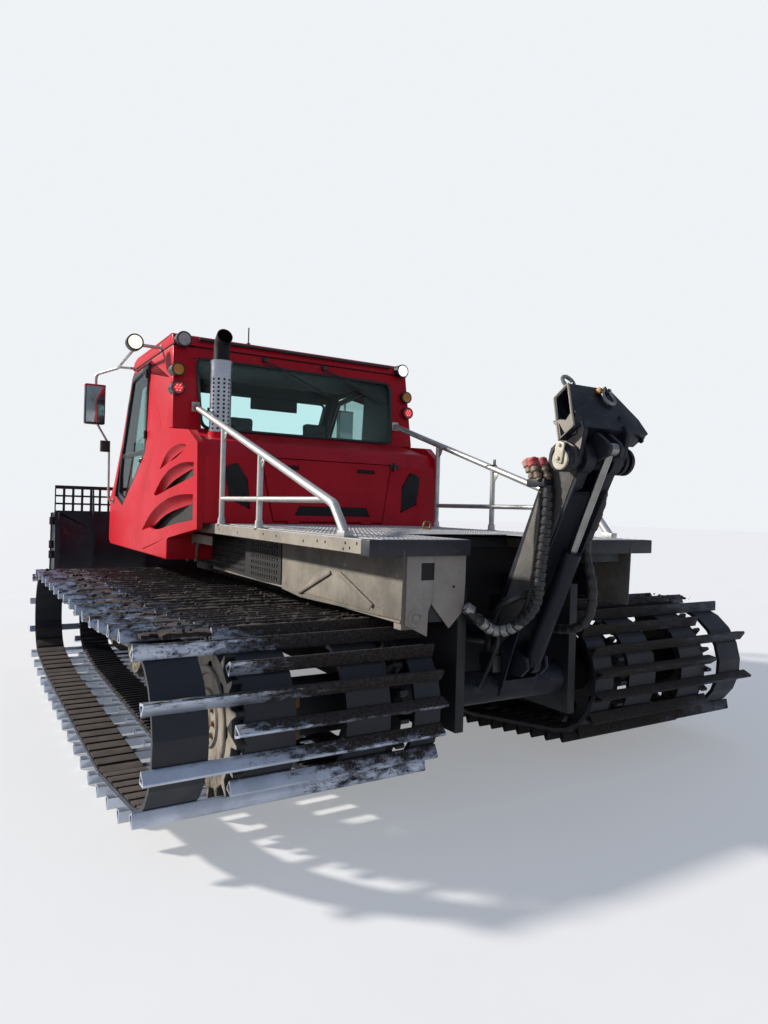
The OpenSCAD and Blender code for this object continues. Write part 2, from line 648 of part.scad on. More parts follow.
holes_round = 12;
module exhaust_guard() color("lightgray") placed() translate([exhaust_c[0], exhaust_c[1], guard_z[0]])
    difference() {
    cylinder(h = guard_z[1] - guard_z[0], r = guard_r);
    translate([0, 0, -1]) cylinder(h = guard_z[1] - guard_z[0] + 2, r = guard_r - 4);
    for (i = [0 : hole_rows - 1]) for (j = [0 : holes_round - 1])
        rotate(j * 360 / holes_round) translate([guard_r - 10, -9, 20 + i * hole_pitch]) cube([20, 18, 18]);
}

// Rear lamps and roof lights: distance from the middle, middle of the face in y, z, radius
rear_lamps = [[roof_half - 77, -2740, 3005, 66], [roof_half - 30, -2725, 2738, 58],
    [roof_half - 25, -2700, 2577, 58]];
roof_lamps = [[330, -4420, 3015, 42], [760, -4420, 3015, 42]];
lamp_deep = 110;
nose_lamps = [[800, -5240, 1400, 95]];
module lamp_bodies(g) both_sides() {
    for (l = rear_lamps) translate([l[0], l[1], l[2]]) rotate([90, 0, 0])
        cylinder(h = lamp_deep, r = l[3] + g);
    for (l = concat(roof_lamps, nose_lamps)) translate([l[0], l[1], l[2]]) rotate([-90, 0, 0])
        cylinder(h = lamp_deep, r = l[3] + g);
}
module lamp_sockets() lamp_bodies(0.5);
rack_yz = [-2813, 3038];
antenna = [480, -2900];
mirror_x = roof_half + 310; // the mirror's own tube
work_lamp = [mirror_x - 60, -3180, 3000]; // middle of its back
module lamps() color("gray") placed() {
    lamp_bodies(0);
    rod([roof_half - 230, rack_yz[0], rack_yz[1]], [-roof_half + 190, rack_yz[0], rack_yz[1]], 14);
    translate(work_lamp) rotate([-90, 0, 0]) cylinder(h = 70, r = 72);
    translate([antenna[0], antenna[1], roof_z]) cylinder(h = 155, r = 6);
    translate([antenna[0], antenna[1], roof_z]) cylinder(h = 12, r = 18);
}

// Wipers on the rear window: x of the pivot and of the tip
wiper_xs = [[362, -292], [-240, -912]];
module wipers() color([0.1, 0.1, 0.1]) placed() for (x = wiper_xs) {
    rod([x[0], -2768, 2930], [x[1], -2730, 2650], 9);
    translate([x[0], -2792, 2930]) rotate([-90, 0, 0]) cylinder(h = 32, r = 18);
}

// Mirrors, their tubes and the brackets of the work lights
mirror_y = -4700;
module mirror_set() {
    bent([[roof_half, -3210, 3000], [mirror_x - 100, -3210, 3000], [mirror_x - 155, -4000, 3010],
        [mirror_x - 170, -4450, 2990], [mirror_x, mirror_y, 2940], [mirror_x, mirror_y, 2820]], 15, 50);
    drum(-3210, 3000, 30, roof_half, roof_half + 8);
    rod([mirror_x - 168, -4400, 2992], [roof_half + 30, -4345, 2986], 12);
    drum(-4340, 2986, 14, roof_half, roof_half + 40);
    box([mirror_x - 95, mirror_y - 40, 2410], [mirror_x + 110, mirror_y + 40, 2830]);
    bent([[mirror_x - 20, mirror_y, 2420], [mirror_x - 165, -4800, 2210], [body_half + 50, -5010, 1600],
        [body_half, -5010, 1600]], 12, 40);
    drum(-5010, 1600, 26, body_half, body_half + 8);
    box([mirror_x - 175, -4830, 2130], [mirror_x - 75, -4770, 2250]);
}
module mirrors() color([0.15, 0.15, 0.15]) placed() {
    both_sides() mirror_set();
    box([mirror_x - 100, -3215, 2980], [mirror_x - 40, work_lamp[1], 3020]);
}

// Front blade, raised
king_y = -5400;
cross_y = [king_y + 120, king_y + 230];
king_r = 40;
blade_lift_eye = [king_y + 190, 755];
// Angle cylinders: x, y, z of the base pin and of the rod's eye
angle_base = [420, -4900, 700];
angle_z = angle_base[2];
front_y = -5640;
angle_eye = [300, front_y + 60, angle_z];
angle_lugs = [[angle_z - 60, angle_z - 40], [angle_z + 40, angle_z + 60]];
module blade_frame() color([0.13, 0.13, 0.14]) placed() {
    both_sides() {
        difference() {
            union() {
                along_x(frame_x - 45, frame_x + 45)
                    polygon([[blade_hinge[0] + 20, 410], [blade_hinge[0] + 20, 530],
                    [cross_y[1], 640], [cross_y[1], 470]]);
                drum(blade_hinge[0], blade_hinge[1], 66, frame_x - 45, frame_x + 45);
            }
            drum(blade_hinge[0], blade_hinge[1], blade_hinge_r, frame_x - 50, frame_x + 50);
        }
        for (z = angle_lugs) box([frame_x + 20, angle_base[1] - 45, z[0]],
            [angle_base[0] + 45, angle_base[1] + 45, z[1]]);
        box([frame_x + 20, angle_base[1] - 45, 560], [frame_x + 45, angle_base[1] + 45, angle_lugs[1][1]]);
        translate([angle_base[0], angle_base[1], angle_lugs[0][0]]) cylinder(h = 110, r = pin_r);
        for (s = [-1, 1]) box([blade_lift_x + s * 40 - 12, cross_y[1] - 90, 630],
            [blade_lift_x + s * 40 + 12, cross_y[1], 800]);
    }
    box([-520, cross_y[0], 470], [520, cross_y[1], 640]);
    difference() {
        union() {
            box([-110, king_y, 500], [110, cross_y[0] + 1, 640]);
            translate([0, king_y, 500]) cylinder(h = 140, r = 110);
        }
        translate([0, king_y, 499]) cylinder(h = 162, r = king_r);
    }
}

swivel_z = [[400, 490], [650, 740]];
roll_z = 580;
roll_r = 60;
module blade_swivel() color([0.13, 0.13, 0.14]) placed() {
    translate([0, king_y, swivel_z[0][0]]) cylinder(h = swivel_z[1][1] - swivel_z[0][0],
        r = king_r - pin_gap);
    for (z = swivel_z) {
        translate([0, king_y, z[0]]) cylinder(h = z[1] - z[0], r = 90);
        box([-90, front_y - 1, z[0]], [90, king_y, z[1]]);
    }
    box([-420, front_y - 40, 400], [420, front_y, angle_lugs[1][1]]);
    translate([0, front_y - 39, roll_z]) rotate([90, 0, 0]) cylinder(h = 150, r = roll_r);
    both_sides() for (z = angle_lugs) box([angle_eye[0] - 42, front_y - 1, z[0]],
        [angle_eye[0] + 42, angle_eye[1] + 42, z[1]]);
}

// Blade outline in (y, z), front face first, then the back of its plate
blade_face = [[-6010, 430], [-5930, 560], [-5860, 760], [-5840, 1000], [-5870, 1240], [-5946, 1450]];
function back_of(points, t) = [for (i = [len(points) - 1 : -1 : 0]) points[i] + [t, 0]];
mesh_z = [1440, 1770];
mesh_rows = [1468, 1562, 1656];
mesh_cells = 34;
rib_xs = [-1300, -700, 700, 1300];
roll_back = front_y - 60;
wing_pin = [blade_half + 30, -5900]; // x, y of the wing's hinge
wing_pin_r = 28;
// Knuckles of the wing's hinge: z of each on the blade, then on the wing
blade_knuckles = [500, 900, 1300];
wing_knuckles = [620, 1020];
knuckle = 90;
module mesh_band(x0, x1) {
    w = (x1 - x0) / mesh_cells;
    difference() {
        box([x0, -5950, mesh_z[0]], [x1, -5936, mesh_z[1]]);
        for (i = [0 : mesh_cells - 1]) for (z = mesh_rows)
            box([x0 + i * w + 14, -5970, z], [x0 + (i + 1) * w - 14, -5920, z + 72]);
    }
}
module blade() color([0.13, 0.13, 0.14]) placed() {
    along_x(-blade_half, blade_half) polygon(concat(blade_face, back_of(blade_face, blade_plate)));
    mesh_band(-blade_half, blade_half);
    for (x = rib_xs) along_x(x - 8, x + 8) polygon([[-5985, 440], [-5780, 500], [-5760, 1000], [-5850, 1440],
        [-5920, 1740], [-5940, 1740], [-5938, 1440], [-5835, 1000], [-5855, 760], [-5925, 560]]);
    difference() {
        along_x(-600, 600) polygon([[-5900, 480], [roll_back, 480], [roll_back, 700], [-5860, 720]]);
        translate([0, front_y, roll_z]) rotate([90, 0, 0]) cylinder(h = 250, r = roll_r + pin_gap);
    }
    both_sides() for (z = blade_knuckles) {
        translate([wing_pin[0], wing_pin[1], z]) cylinder(h = knuckle, r = wing_pin_r);
        box([blade_half - 60, wing_pin[1] - 12, z], [wing_pin[0], wing_pin[1] + 12, z + knuckle]);
    }
    // The knuckles sit on a post behind the blade's end
    both_sides() along_x(blade_half - 60, blade_half - 40)
        polygon([[-5990, 440], [-5880, 450], [-5800, 1000], [-5870, 1440], [-5940, 1450]]);
}
module wing() {
    for (z = wing_knuckles) {
        translate([wing_pin[0], wing_pin[1], z]) cylinder(h = knuckle, r = wing_pin_r);
        box([wing_pin[0] - 7, -5990, z], [wing_pin[0] + 7, wing_pin[1], z + knuckle]);
    }
    upright(440, 1440) polygon([[wing_pin[0] - 8, -5968], [wing_pin[0] + 8, -5968],
        [wing_pin[0] - 80, -5900 - wing_len + 5], [wing_pin[0] - 96, -5900 - wing_len + 5]]);
}
module wing_left() color([0.13, 0.13, 0.14]) placed() wing();
module wing_right() color([0.13, 0.13, 0.14]) placed() right_side() wing();

module blade_lift_barrels() color([0.2, 0.2, 0.2]) placed() both_sides()
    cyl_barrel(blade_lift_x, blade_lift_base, blade_lift_eye, blade_lift_r, 480, 20, 280, pin_r);
module blade_lift_rods() color("silver") placed() both_sides()
    cyl_rod(blade_lift_x, blade_lift_base, blade_lift_eye, 20, 300);

angle_length = 480;
module angle_barrel() difference() {
    union() {
        rod(angle_base, along(angle_base, angle_eye, angle_length), 34);
        translate(angle_base - [0, 0, 30]) cylinder(h = 60, r = 38);
    }
    rod(along(angle_base, angle_eye, 100), along(angle_base, angle_eye, angle_length + 1), 18.5);
    translate(angle_base - [0, 0, 50]) cylinder(h = 100, r = pin_r + pin_gap);
}
module angle_rod() {
    rod(along(angle_base, angle_eye, 235), angle_eye, 18);
    translate(angle_eye - [0, 0, 28]) cylinder(h = 56, r = 30);
}
module angle_barrel_left() color([0.2, 0.2, 0.2]) placed() angle_barrel();
module angle_barrel_right() color([0.2, 0.2, 0.2]) placed() right_side() angle_barrel();
module angle_rod_left() color("silver") placed() angle_rod();
module angle_rod_right() color("silver") placed() right_side() angle_rod();

// Rear carrier: arm on a low pin, with the coupler head on a cross tube at its top
head_pin = [830, 1880];
head_tube_r = 55;
boss_r = 84;
tilt_base = [425, 760];
tilt_eye = [945, 1925];
lift_eye = [142, 862];
slot_half = 64;
eye_gap = eye_half + 5;
barrel_gap = barrel_r + 8;
module carrier_arm() color([0.15, 0.15, 0.16]) placed() {
    difference() {
        union() {
            along_x(-arm_half, arm_half) polygon([[130, 560], [310, 560], [500, 1060], [880, 1840],
                [850, 1950], [740, 1985],
                [660, 1940], [640, 1860], [250, 1000]]);
            drum(arm_pin[0], arm_pin[1], 92, -inner + 12, inner - 12);
            both_sides() drum(head_pin[0], head_pin[1], boss_r, slot_half, arm_half);
            for (s = [-1, 1]) along_x(s * (eye_gap + 12) - 12, s * (eye_gap + 12) + 12)
                polygon([[230, 810], [100, 812], [90, 890], [140, 915], [260, 940]]);
        }
        drum(arm_pin[0], arm_pin[1], arm_pin_r + pin_gap, -hull_half, hull_half);
        drum(head_pin[0], head_pin[1], head_tube_r + 0.5, -arm_half - 1, arm_half + 1);
        // The arm is open at its back for the tilt cylinder
        along_x(-arm_half + 14, arm_half - 14) polygon([[262, 655], [700, 655], [1300, 1900], [740, 1700],
            [350, 1060]]);
        drum(head_pin[0], head_pin[1], 175, -slot_half, slot_half);
    }
    for (s = [-1, 1]) along_x(s * (barrel_gap + 12) - 12, s * (barrel_gap + 12) + 12)
        polygon([[240, 680], [430, 690], [480, 740], [470, 800], [425, 815], [300, 860]]);
    drum(tilt_base[0], tilt_base[1], pin_r, -barrel_gap - 1, barrel_gap + 1);
}

// Coupler head: cross tube, two necks and a leaning folded box with hooks
head_foot = [905, 2030]; // y, z of the box's lower rear edge
head_lean = 34;
head_deep = 118;
head_tall = 290;
neck_x = [arm_half + 10, arm_half + 38];
module head_frame() translate([0, head_foot[0], head_foot[1]]) rotate([head_lean, 0, 0]) children();
module coupler_head() color([0.1, 0.1, 0.1]) placed() {
    drum(head_pin[0], head_pin[1], head_tube_r, -232, 232);
    both_sides() {
        for (x = [[neck_x[1], 190], [212, 232]]) drum(head_pin[0], head_pin[1], head_tube_r + 18, x[0], x[1]);
        along_x(neck_x[0], neck_x[1]) polygon([[770, 1850], [890, 1850], [925, 2010], [905, 2060],
            [800, 2010]]);
        // Lugs of the tilt cylinder
        along_x(eye_gap, slot_half - 6) polygon([[800, 1850], [860, 1850], [975, 1890], [985, 1930],
            [960, 1965], [900, 2010], [850, 2020], [800, 1960]]);
    }
    // Folded box, open at both ends, its right end sloping
    head_frame() intersection() {
        along_x(-340, 340) difference() {
            translate([-head_deep, 0]) square([head_deep, head_tall]);
            translate([-head_deep + 14, 14]) square([head_deep - 28, head_tall - 28]);
        }
        along_y(-head_deep - 1, 1) polygon([[-330, -1], [218, -1], [180, 96], [98, head_tall + 1],
            [-212, head_tall + 1], [-316, 96]]);
    }
    // Hooks that point forward on each side
    both_sides() along_x(150, 176) polygon([[880, 1995], [816, 1982], [757, 1998], [744, 2016],
        [785, 2026], [728, 2052], [716, 2072], [770, 2078], [806, 2072], [840, 2110], [870, 2110]]);
    // Eyes that the shackles hang in: one on the box's top, one on its back
    head_frame() for (s = shackle_eyes) difference() {
        box([s[0] - 9, s[1] - s[3], s[2] - 25], [s[0] + 9, s[1] + 24, s[2] + 20]);
        drum(s[1], s[2], 14, s[0] - 10, s[0] + 10);
    }
}
// Each shackle: the middle of its eye in the box's frame, how far the lug reaches forward of that
// middle, then 1 where its bow stands up or -1 where it hangs down
shackle_eyes = [[10, -59, head_tall + 24, 29, 1], [-130, 10, head_tall - 40, 11, -1]];
module shackles() color("gray") placed() head_frame() for (s = shackle_eyes)
    translate([s[0], s[1], s[2] + s[4] * 36]) rotate([90, 0, 0]) rotate_extrude() translate([36, 0])
        circle(9, $fn = 24);

module tilt_barrel() color([0.15, 0.15, 0.16]) placed()
    cyl_barrel(0, tilt_base, tilt_eye, barrel_r, 700, rod_r, 370, pin_r);
module tilt_rod() color("silver") placed() cyl_rod(0, tilt_base, tilt_eye, rod_r, 560);
module lift_barrel() color([0.15, 0.15, 0.16]) placed()
    cyl_barrel(0, lift_base, lift_eye, 55, 400, 28, 95, pin_r);
module lift_rod() color("silver") placed() cyl_rod(0, lift_base, lift_eye, 28, 110);

// Hoses beside the arm: they run from the coupling block at its top to the manifold low on it
coupling_block = [[arm_half, 560, 1700], [arm_half + 70, 700, 1780]];
manifold = [[arm_half, 205, 700], [arm_half + 70, 335, 800]];
// Each hose: radius, then its points
hose_bend = 72;
hose_runs = [
    [14, [[150, 600, 1700], [150, 600, 1630], [150, 650, 1400], [150, 600, 1100], [150, 310, 870],
        [150, 310, 800]]],
    [14, [[184, 640, 1700], [184, 640, 1620], [184, 676, 1400], [184, 616, 1090], [184, 312, 860],
        [184, 312, 800]]],
    [24, [[160, 240, 800], [160, 240, 900], [240, 400, 1080], [220, 530, 1160], [130, 530, 1160]]]];
module carrier_hoses() color([0.08, 0.08, 0.08]) placed() {
    for (h = hose_runs) bent(h[1], h[0], hose_bend);
    box(manifold[0], manifold[1]);
}
coupling_ys = [585, 630, 675];
module hose_couplings() color([0.5, 0.1, 0.1]) placed() {
    box(coupling_block[0], coupling_block[1]);
    for (x = [155, 185]) for (y = coupling_ys) translate([x, y, coupling_block[1][2] - 1])
        cylinder(h = 81, r = 14);
}

hull();
deck();
deck_supports();
deck_rails();
engine_block();
final_drives();
sprockets();
wheels();
tyres();
belts_left();
belts_right();
bars_left();
bars_right();
cab_body();
roof();
glass_fixed();
cab_interior();
seats();
hood();
side_intakes();
hood_flap();
door_left();
door_glass_left();
door_right();
door_glass_right();
exhaust_pipe();
exhaust_guard();
lamps();
mirrors();
wipers();
blade_frame();
blade_swivel();
blade();
wing_left();
wing_right();
blade_lift_barrels();
blade_lift_rods();
angle_barrel_left();
angle_rod_left();
angle_barrel_right();
angle_rod_right();
carrier_arm();
coupler_head();
tilt_barrel();
tilt_rod();
lift_barrel();
lift_rod();
carrier_hoses();
hose_couplings();
shackles();
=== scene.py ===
"""Dressed model of a wide-track snow groomer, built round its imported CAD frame."""

import math
import random

import bpy
from mathutils import Matrix, Vector, noise


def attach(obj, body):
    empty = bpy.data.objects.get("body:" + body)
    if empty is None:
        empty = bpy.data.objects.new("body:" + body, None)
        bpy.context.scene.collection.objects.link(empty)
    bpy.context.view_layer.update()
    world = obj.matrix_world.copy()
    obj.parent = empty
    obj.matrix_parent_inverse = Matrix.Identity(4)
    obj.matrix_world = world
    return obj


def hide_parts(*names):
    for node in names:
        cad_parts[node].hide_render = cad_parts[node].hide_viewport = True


bl_info = {
    "name": "Snow groomer",
    "version": (1, 0, 0),
    "blender": (4, 5, 0),
    "location": "View3D > Sidebar > Groomer",
    "description": "Builds the visible pieces of a wide-track snow groomer with a rear deck and carrier",
    "category": "Add Mesh",
}

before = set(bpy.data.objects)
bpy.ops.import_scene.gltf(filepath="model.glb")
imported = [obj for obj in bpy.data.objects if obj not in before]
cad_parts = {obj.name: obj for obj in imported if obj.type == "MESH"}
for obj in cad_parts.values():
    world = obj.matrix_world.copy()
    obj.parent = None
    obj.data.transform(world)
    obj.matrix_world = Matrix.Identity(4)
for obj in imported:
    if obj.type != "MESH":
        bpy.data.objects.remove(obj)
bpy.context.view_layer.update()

# Places are written in millimetres from the rear sprocket's axle, as the CAD source does
MM = 0.001
AXLE_Y = 2670
CHASSIS = "chassis"
ARM = "carrier_arm"
ORIGIN = Vector((0, 0, 0))
UPWARDS = (0, 0, 1)


def at(x, y, z):
    """A place on the machine, in the part's frame and in metres."""
    return Vector((x, y + AXLE_Y, z)) * MM


def line_at(*places):
    """Several places on the machine."""
    return [at(*p) for p in places]


class GroomerSizes(bpy.types.PropertyGroup):
    panel_round: bpy.props.FloatProperty(
        name="Panel rounding", description="Radius of the red body panels' edges",
        default=0.012, unit="LENGTH"
    )
    steel_round: bpy.props.FloatProperty(
        name="Steel rounding", description="Radius of folded steel edges", default=0.005, unit="LENGTH"
    )
    seal_radius: bpy.props.FloatProperty(
        name="Seal", description="Radius of the rubber window seals", default=0.015, unit="LENGTH"
    )
    mud_depth: bpy.props.FloatProperty(
        name="Mud depth", description="How far the mud on the tracks stands above the belts",
        default=0.05, unit="LENGTH"
    )
    clods: bpy.props.IntProperty(name="Clods", description="Loose lumps of soil on each track", default=1300)
    camera_place: bpy.props.FloatVectorProperty(
        name="Camera", description="Where the camera stands", default=(2.792, 6.052, 1.601),
        subtype="TRANSLATION", unit="LENGTH"
    )
    camera_turn: bpy.props.FloatVectorProperty(
        name="Camera turn", description="Yaw, pitch and roll of the camera",
        default=(0.547, -0.005, 0.028), unit="ROTATION"
    )
    focal: bpy.props.FloatProperty(name="Focal length",
        description="Focal length of the lens in mm", default=25.02)


class GroomerColours(bpy.types.PropertyGroup):
    red: bpy.props.FloatVectorProperty(
        name="Red paint", description="Paint of the cab and the hood",
        default=(0.72, 0.006, 0.022), subtype="COLOR"
    )
    red_deep: bpy.props.FloatVectorProperty(
        name="Aged red", description="Patches where the red has aged",
        default=(0.58, 0.006, 0.018), subtype="COLOR"
    )
    beige: bpy.props.FloatVectorProperty(
        name="Chassis", description="Paint of the chassis panels", default=(0.38, 0.34, 0.28), subtype="COLOR"
    )
    black: bpy.props.FloatVectorProperty(
        name="Black paint", description="Paint of the blade and the carrier",
        default=(0.012, 0.014, 0.02), subtype="COLOR"
    )
    bar: bpy.props.FloatVectorProperty(
        name="Track bars", description="Bare aluminium of the track bars",
        default=(0.58, 0.64, 0.75), subtype="COLOR"
    )
    mud: bpy.props.FloatVectorProperty(
        name="Mud", description="Wet soil on the tracks", default=(0.03, 0.023, 0.019), subtype="COLOR"
    )
    dust: bpy.props.FloatVectorProperty(
        name="Dust", description="Dry soil on panels and steel", default=(0.27, 0.23, 0.18), subtype="COLOR"
    )
    glass: bpy.props.FloatVectorProperty(
        name="Window tint", description="Tint of the cab's windows",
        default=(0.78, 0.97, 0.96), subtype="COLOR"
    )


def sizes():
    """The sizes that the user set."""
    return bpy.context.scene.groomer_sizes


def colours():
    """The colours that the user set."""
    return bpy.context.scene.groomer_colours


def only(*objects):
    """Selects these objects alone and makes the first one active."""
    bpy.ops.object.select_all(action="DESELECT")
    for o in objects:
        o.select_set(True)
    bpy.context.view_layer.objects.active = objects[0]
    return objects[0]


def clear():
    """Deselects everything."""
    bpy.ops.object.select_all(action="DESELECT")


class editing:
    """Edit mode on one object, with everything selected."""

    def __init__(self, obj):
        self.obj = obj

    def __enter__(self):
        only(self.obj)
        bpy.ops.object.mode_set(mode="EDIT")
        bpy.ops.mesh.select_all(action="SELECT")

    def __exit__(self, *_):
        bpy.ops.object.mode_set(mode="OBJECT")


def named(name):
    """Names the active object."""
    obj = bpy.context.view_layer.objects.active
    obj.name = name
    return obj


def block(name, low, high, bevel=4, segments=2):
    """Box between two corners on the machine, with rounded edges."""
    a, b = at(*low), at(*high)
    clear()
    bpy.ops.mesh.primitive_cube_add(size=1, location=(a + b) / 2, scale=b - a)
    obj = named(name)
    bpy.ops.object.transform_apply()
    if bevel:
        with editing(obj):
            bpy.ops.mesh.bevel(offset=bevel * MM, segments=segments, affect="EDGES")
    return obj


def lathe(name, base, axis, stations, sides=32):
    """Turned shape on an axis: each station is its place along the axis and its radius, in mm."""
    clear()
    first = stations[0]
    bpy.ops.mesh.primitive_circle_add(
        vertices=sides, radius=first[1] * MM, fill_type="NGON", location=(0, 0, first[0] * MM)
    )
    obj = named(name)
    bpy.ops.object.transform_apply()
    with editing(obj):
        for (a0, r0), (a1, r1) in zip(stations, stations[1:]):
            bpy.ops.mesh.extrude_region_move(TRANSFORM_OT_translate={"value": (0, 0, (a1 - a0) * MM)})
            k = r1 / r0
            bpy.ops.transform.resize(value=(k, k, 1), center_override=(0, 0, a1 * MM))
        bpy.ops.mesh.select_all(action="SELECT")
        bpy.ops.mesh.normals_make_consistent(inside=False)
    obj.rotation_mode = "QUATERNION"
    obj.rotation_quaternion = Vector(axis).to_track_quat("Z", "Y")
    obj.location = base
    bpy.ops.object.transform_apply()
    return obj


def plate(name, outline, plane, start, end, bevel=0):
    """Outline in the plane across x, y or z, extruded from start to end along it, in mm."""
    clear()
    bpy.ops.mesh.primitive_circle_add(vertices=len(outline), radius=1, fill_type="NGON")
    obj = named(name)
    place = {
        "x": lambda p: at(start, p[0], p[1]),
        "y": lambda p: at(p[0], start, p[1]),
        "z": lambda p: at(p[0], p[1], start),
    }[plane]
    for v, p in zip(obj.data.vertices, outline):
        v.co = place(p)
    step = [0, 0, 0]
    step["xyz".index(plane)] = (end - start) * MM
    with editing(obj):
        bpy.ops.mesh.extrude_region_move(TRANSFORM_OT_translate={"value": step})
        bpy.ops.mesh.select_all(action="SELECT")
        bpy.ops.mesh.normals_make_consistent(inside=False)
        if bevel:
            bpy.ops.mesh.bevel(offset=bevel * MM, segments=2, affect="EDGES")
    return obj


def tube(name, points, radius, sides=12, smooth=True, closed=False, resolution=5):
    """Round tube of a radius in mm along points in the part's frame."""
    data = bpy.data.curves.new(name, "CURVE")
    data.dimensions = "3D"
    line = data.splines.new("NURBS" if smooth else "POLY")
    line.points.add(len(points) - 1)
    for p, q in zip(line.points, points):
        p.co = (*q, 1)
    if smooth:
        line.order_u = 3
        line.use_endpoint_u = not closed
        line.resolution_u = resolution
        data.resolution_u = resolution
    line.use_cyclic_u = closed
    data.bevel_depth = radius * MM
    data.bevel_resolution = max(0, sides // 4 - 1)
    data.use_fill_caps = not closed
    obj = bpy.data.objects.new(name, data)
    bpy.context.scene.collection.objects.link(obj)
    only(obj)
    bpy.ops.object.convert(target="MESH")
    return named(name)


def join(name, parts):
    """Joins parts to one object."""
    only(*parts)
    if len(parts) > 1:
        bpy.ops.object.join()
    return named(name)


def copies(obj, matrices, name=None):
    """One mesh of the object's shape at each matrix, each copy with its own mesh before they are joined."""
    parts = []
    for m in matrices:
        mesh = obj.data.copy()
        mesh.transform(m)
        if m.determinant() < 0:
            mesh.flip_normals()
        part = bpy.data.objects.new(obj.name, mesh)
        bpy.context.scene.collection.objects.link(part)
        parts.append(part)
    label = name or obj.name
    bpy.data.objects.remove(obj)
    return join(label, parts)


MIRROR = Matrix.Scale(-1, 4, (1, 0, 0))


def mirrored(obj):
    """The object and its mirror image on the other side."""
    return copies(obj, [Matrix.Identity(4), MIRROR])


def spots(places, axis=(0, 1, 0)):
    """Matrices that put a shape modelled at the origin along +Z on each place, facing an axis."""
    facing = Vector(axis).to_track_quat("Z", "Y").to_matrix().to_4x4()
    return [Matrix.Translation(p) @ facing for p in places]


def modified(obj, kind, **settings):
    """Adds a modifier with these settings and applies it."""
    modifier = obj.modifiers.new(kind, kind)
    for key, value in settings.items():
        setattr(modifier, key, value)
    only(obj)
    bpy.ops.object.modifier_apply(modifier=modifier.name)
    return obj


def boolean(obj, cutter, operation="DIFFERENCE"):
    """Cuts an object with another and removes the other."""
    modified(obj, "BOOLEAN", object=cutter, operation=operation, solver="EXACT")
    bpy.data.objects.remove(cutter)
    return obj


def unit_cube(name, bevel):
    """Cube with a side of 1 and cut edges, which each copy stretches to its size."""
    clear()
    bpy.ops.mesh.primitive_cube_add(size=1)
    cube = named(name)
    with editing(cube):
        bpy.ops.mesh.bevel(offset=bevel, segments=1, affect="EDGES")
    return cube


def mark_edges(obj):
    """Writes the attribute that worn paint follows: 1 along the middle of a rounded edge."""
    mesh = obj.data
    around = [[] for _ in mesh.vertices]
    for p in mesh.polygons:
        for v in p.vertices:
            around[v].append(p.normal)
    values = []
    for normals in around:
        lowest = min((a.dot(b) for a in normals for b in normals), default=1)
        values.append(max(0.0, min(1.0, (math.degrees(math.acos(max(-1, min(1, lowest)))) - 24) / 16)))
    data = mesh.attributes.new("edge", "FLOAT", "POINT")
    data.data.foreach_set("value", values)


# Edges between faces that turn more than this are rounded
SHARP = math.cos(math.radians(28))


def refined(node, name, width, segments=2, shortest=0.03):
    """Copy of a CAD node with its long sharp edges rounded."""
    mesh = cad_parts[node].data.copy()
    obj = bpy.data.objects.new(name, mesh)
    bpy.context.scene.collection.objects.link(obj)
    only(obj)
    if mesh.has_custom_normals:
        bpy.ops.mesh.customdata_custom_splitnormals_clear()
    with editing(obj):
        bpy.ops.mesh.remove_doubles(threshold=0.00002)
        bpy.ops.mesh.dissolve_limited(angle_limit=math.radians(0.4))
    weights = mesh.attributes.new("bevel_weight_edge", "FLOAT", "EDGE")
    sides = {}
    for p in mesh.polygons:
        for key in p.edge_keys:
            sides.setdefault(key, []).append(p.normal)
    for e in mesh.edges:
        pair = sides.get(tuple(sorted(e.vertices)), [])
        length = (mesh.vertices[e.vertices[0]].co - mesh.vertices[e.vertices[1]].co).length
        sharp = len(pair) == 2 and pair[0].dot(pair[1]) < SHARP and length > shortest
        weights.data[e.index].value = 1.0 if sharp else 0.0
    return modified(
        obj, "BEVEL", width=width, segments=segments, limit_method="WEIGHT", use_clamp_overlap=False
    )


def done(obj, body, slot, *finishes, replaces=(), smooth=32, choose=None):
    """Gives a finished piece its smoothing, finishes and body; slot is not used."""
    only(obj)
    bpy.ops.object.transform_apply()
    bpy.ops.object.shade_smooth_by_angle(angle=math.radians(smooth))
    obj.data.materials.clear()
    for f in finishes:
        obj.data.materials.append(finish(f))
    for p in obj.data.polygons:
        p.material_index = choose(p) if choose else 0
    if "edge" not in obj.data.attributes:
        mark_edges(obj)
    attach(obj, body)
    if replaces:
        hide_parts(*replaces)
    return obj


def feed(tree, node, values):
    """Gives a node's inputs their constants or the sockets that feed them."""
    for key, value in values.items():
        if isinstance(value, bpy.types.NodeSocket):
            tree.links.new(value, node.inputs[key])
        else:
            node.inputs[key].default_value = value


def wire(tree, kind, values=None, **settings):
    """Adds a node, with its settings and what feeds its inputs."""
    node = tree.nodes.new(kind)
    for key, value in settings.items():
        setattr(node, key, value)
    feed(tree, node, values or {})
    return node


def new_material(name):
    """Material with its node tree and its shader."""
    material = bpy.data.materials.new(name)
    material.use_nodes = True
    return material, material.node_tree, material.node_tree.nodes["Principled BSDF"]


def opaque(value):
    """A colour of three numbers with its fourth, and anything else as it is."""
    return (*value, 1) if isinstance(value, (tuple, list)) and len(value) == 3 else value


def tint(tree, factor, a, b):
    """Mix of two colours."""
    values = {0: factor, 6: opaque(a), 7: opaque(b)}
    return wire(tree, "ShaderNodeMix", values, data_type="RGBA").outputs[2]


def blend_values(tree, factor, a, b):
    """Mix of two numbers."""
    return wire(tree, "ShaderNodeMix", {0: factor, 2: a, 3: b}, data_type="FLOAT").outputs[0]


def sums(tree, operation, a, b=0.0, clamp=False):
    """One step of arithmetic on numbers or sockets."""
    return wire(tree, "ShaderNodeMath", {0: a, 1: b}, operation=operation, use_clamp=clamp).outputs[0]


